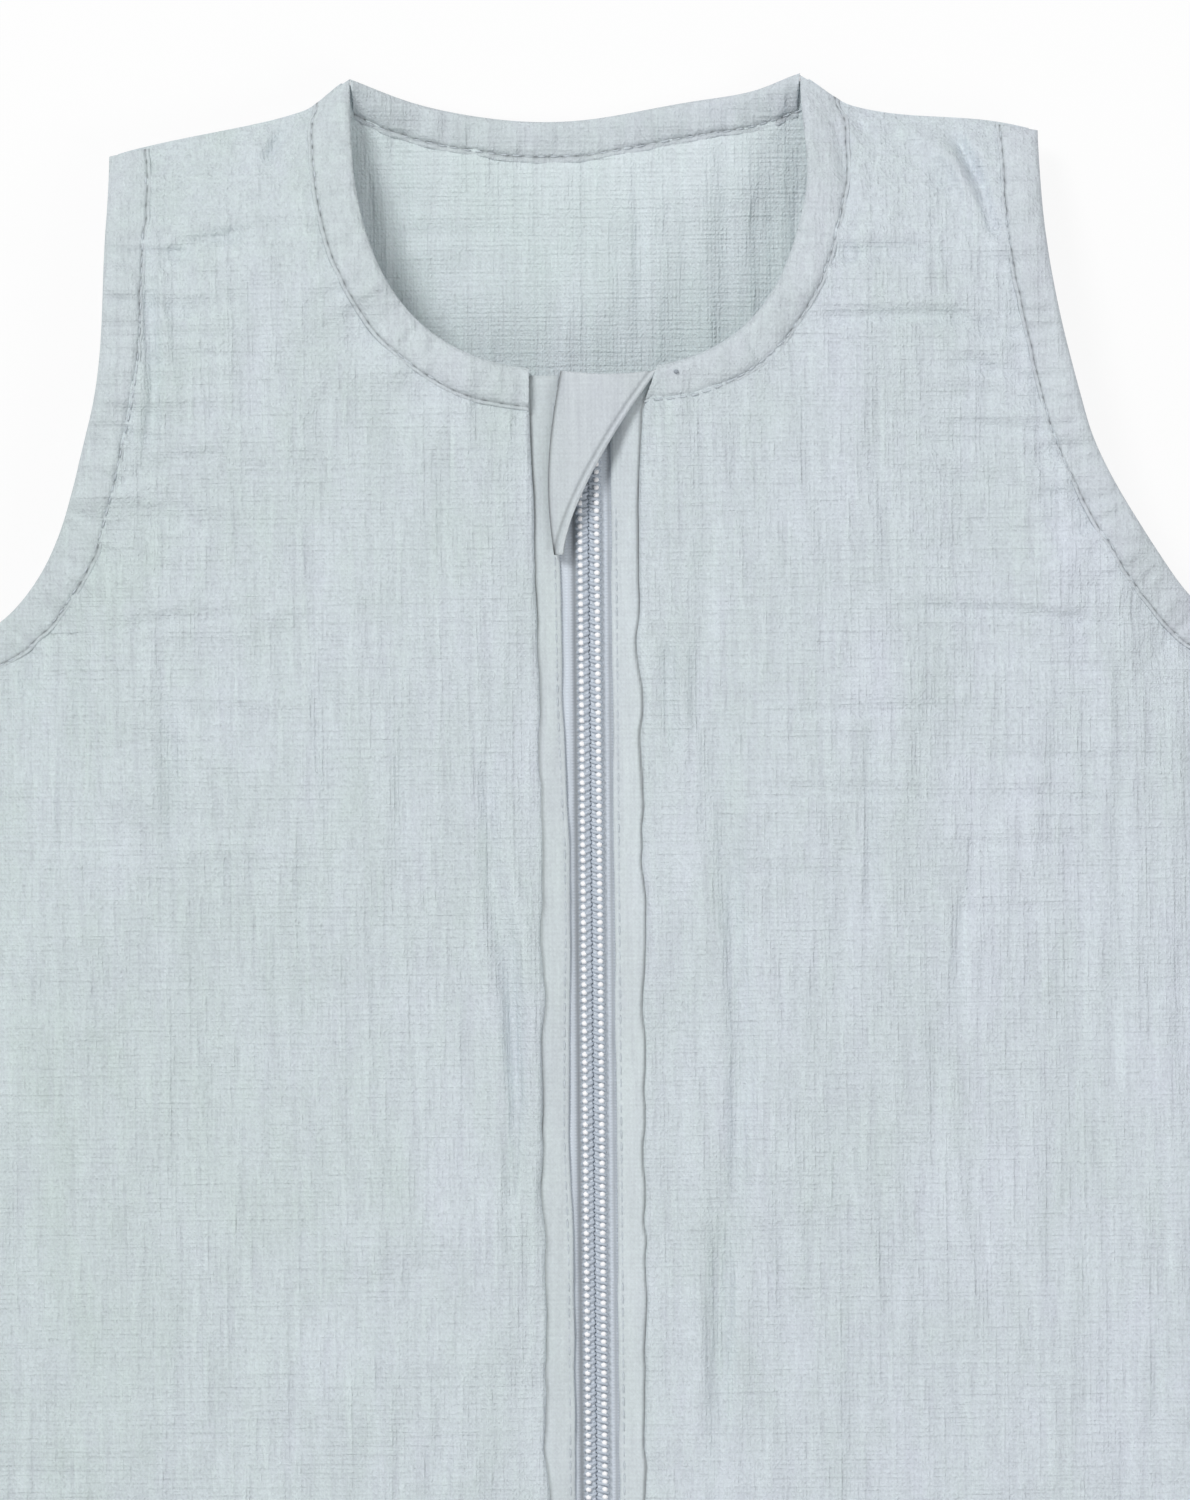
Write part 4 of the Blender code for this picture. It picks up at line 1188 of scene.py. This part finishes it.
def garage_place(u, v):
    down = 1 - v
    left = -6.4 - 3.2 * np.sin(math.pi * np.minimum(down / 1.25, 1))
    right = -6.3 + 23.2 * (1 - down) ** 1.42
    x = left + (np.maximum(right, left + 0.35) - left) * u
    y = FLAP_TOP - FLAP_TALL * down - 0.8 * np.sin(math.pi * u) * (1 - down)
    left_slope = 30.4 + 3.0 * smooth((x + 9.5) / 6.2)
    right_slope = 30.7 + 2.7 * smooth((17 - x) / 13.7)
    arch = np.where(np.abs(x) <= SLIDER_HALF, FLAP_ROOF, np.where(x < 0, left_slope, right_slope))
    from_hem = np.abs(right - x) * 0.85
    hem = 0.5 * np.exp(-(((from_hem - 0.7) / 0.55) ** 2)) - 0.25 * np.exp(-(((from_hem - 1.7) / 0.4) ** 2))
    wave = 0.22 * noise(x / 4.5, y / 9, 83) + 0.10 * noise(x / 2.0, y / 4, 84)
    z = arch + 0.9 + hem + wave * smooth((x - left) / 3)
    edge = np.exp(-(((x - left) / 1.0) ** 2))
    # Painted shade along the sewn-down left fold, and a painted shadow line in the groove inside the rolled
    # hem.
    dark = 0.6 * np.exp(-(((x - left - 0.1) / 0.4) ** 2)) + 0.3 * np.exp(-(((from_hem - 1.7) / 0.35) ** 2))
    return np.column_stack([x * MM, y * MM, (z - 0.5 * edge) * MM, dark])


garage = grid_mesh("zip_garage_cloth", 64, 72, garage_place)
layers = garage.modifiers.new("cloth", "SOLIDIFY")
layers.thickness, layers.offset = 0.9 * MM, -1
file_piece(garage, FLAP, ["zip_garage"], "zip_garage")
print(garage.name, len(garage.data.polygons))

# %% [markdown]
# The hard parts of the zip stay as the solid model made them, because their shapes are already exact. They
# only get a finish: satin metal for the slider and the tab, and moulded plastic for the pin, the box and the
# end stops.

# %% Hard parts
for name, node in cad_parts.items():
    if name in ("zip_slider", "pull_tab"):
        look = METAL
    elif name.startswith(("zip_end_stop", "zip_insertion", "zip_retainer")):
        look = MOULDED
    else:
        continue
    node.data.materials.clear()
    node.data.materials.append(look)
    print(name, look.name)

# %% [markdown]
# A run of straight machine stitches holds each binding and another runs down each facing. A row of
# small white beads, one for each turn, lies on the top of each coil and gives the bright dots along it.
# Thousands of modelled threads would be heavy, so each stitch or bead is a tiny ball drawn out along its
# line, whose pointed ends seem to dive into the cloth.

# %% Stitches
STITCH_LONG, STITCH_THICK, STITCH_OVER = 2.5 * MM, 0.2 * MM, 0.28 * MM
BEAD_X, BEAD_Z, BEAD_LONG, BEAD_THICK = 1.95 * MM, 29.1 * MM, 1.5 * MM, 0.82 * MM
KNOT_PX, KNOT_LONG, KNOT_THICK, KNOT_OVER = (677, 373), 1.3 * MM, 0.6 * MM, 1.5 * MM


def stitch_row(name, spots, step=STITCH, long=STITCH_LONG, thick=STITCH_THICK, look=THREAD):
    """Stitches along a line of points (x, y, z), one for each step."""
    spots = sway(spots)
    reach = np.concatenate([[0], np.cumsum(np.linalg.norm(np.diff(spots, axis=0), axis=1))])
    starts = np.arange(0.0, reach[-1] - long, step)
    at = np.stack([np.interp(starts, reach, spots[:, k]) for k in range(3)], -1)
    to = np.stack([np.interp(starts + long, reach, spots[:, k]) for k in range(3)], -1)
    bm = bmesh.new()
    for a, b in zip(at, to):
        run = Vector(b - a)
        turn = run.to_track_quat("X", "Z").to_matrix().to_4x4()
        size = Matrix.Diagonal((run.length / 2, thick, 0.8 * thick, 1))
        where = Matrix.Translation(Vector((a + b) / 2)) @ turn @ size
        bmesh.ops.create_icosphere(bm, subdivisions=1, radius=1, matrix=where)
    obj = object_from(bm, name)
    obj.data.materials.append(look)
    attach(obj, "bag")
    print(name, len(starts), "stitches")


def on_band(line, turn, side, above, ends=(None, None), sewn=SEWN):
    """A line in the sewn groove of a band."""
    v = np.linspace(0.01, 0.99, 260)
    p = run_along(line, v) + inward_of(line, v, turn, ends) * (BAND * sewn)
    p[:, 0] *= side
    return np.column_stack([p, above(p) + STITCH_OVER])


for side, label in SIDES:
    ends = (AT_SHOULDER, NECK_END[side][1])
    stitch_row(f"neck_stitches_{label}", on_band(neck_line(side), -1, side, front_surface, ends))
    stitch_row(f"armhole_stitches_{label}", on_band(ARM_FOLD, 1, side, front_surface, (AT_TIP, None)))
    y = np.linspace(Y_ZIP_LOW + 0.03, Y_ZIP_TOP - 0.004, 400)
    x = facing_edge(side)(y) + 1.2 * MM
    z = FACING_TOP - slit_drop(y) + 0.06 * MM
    stitch_row(f"facing_stitches_{label}", np.column_stack([side * x, y, z]))
    y = y[(y > COIL_LOW) & (y < COIL_HIGH - 0.002)]
    beads = np.column_stack([np.full(len(y), side * BEAD_X), y, np.full(len(y), BEAD_Z)])
    stitch_row(f"coil_beads_{label}", beads, PITCH, BEAD_LONG, BEAD_THICK, BEAD)
stitch_row("nape_stitches", on_band(BACK_LINE, 1, 1, lining_surface, sewn=NAPE_SEWN))
knot = np.append(from_picture(*KNOT_PX), 0.0)
knot[2] = front_surface(knot[None, :2])[0] + KNOT_OVER
knot = knot + np.outer([-0.9 * MM, 0.9 * MM], [1, 0, 0])
stitch_row("neck_thread_knot", knot, long=KNOT_LONG, thick=KNOT_THICK, look=KNOT)
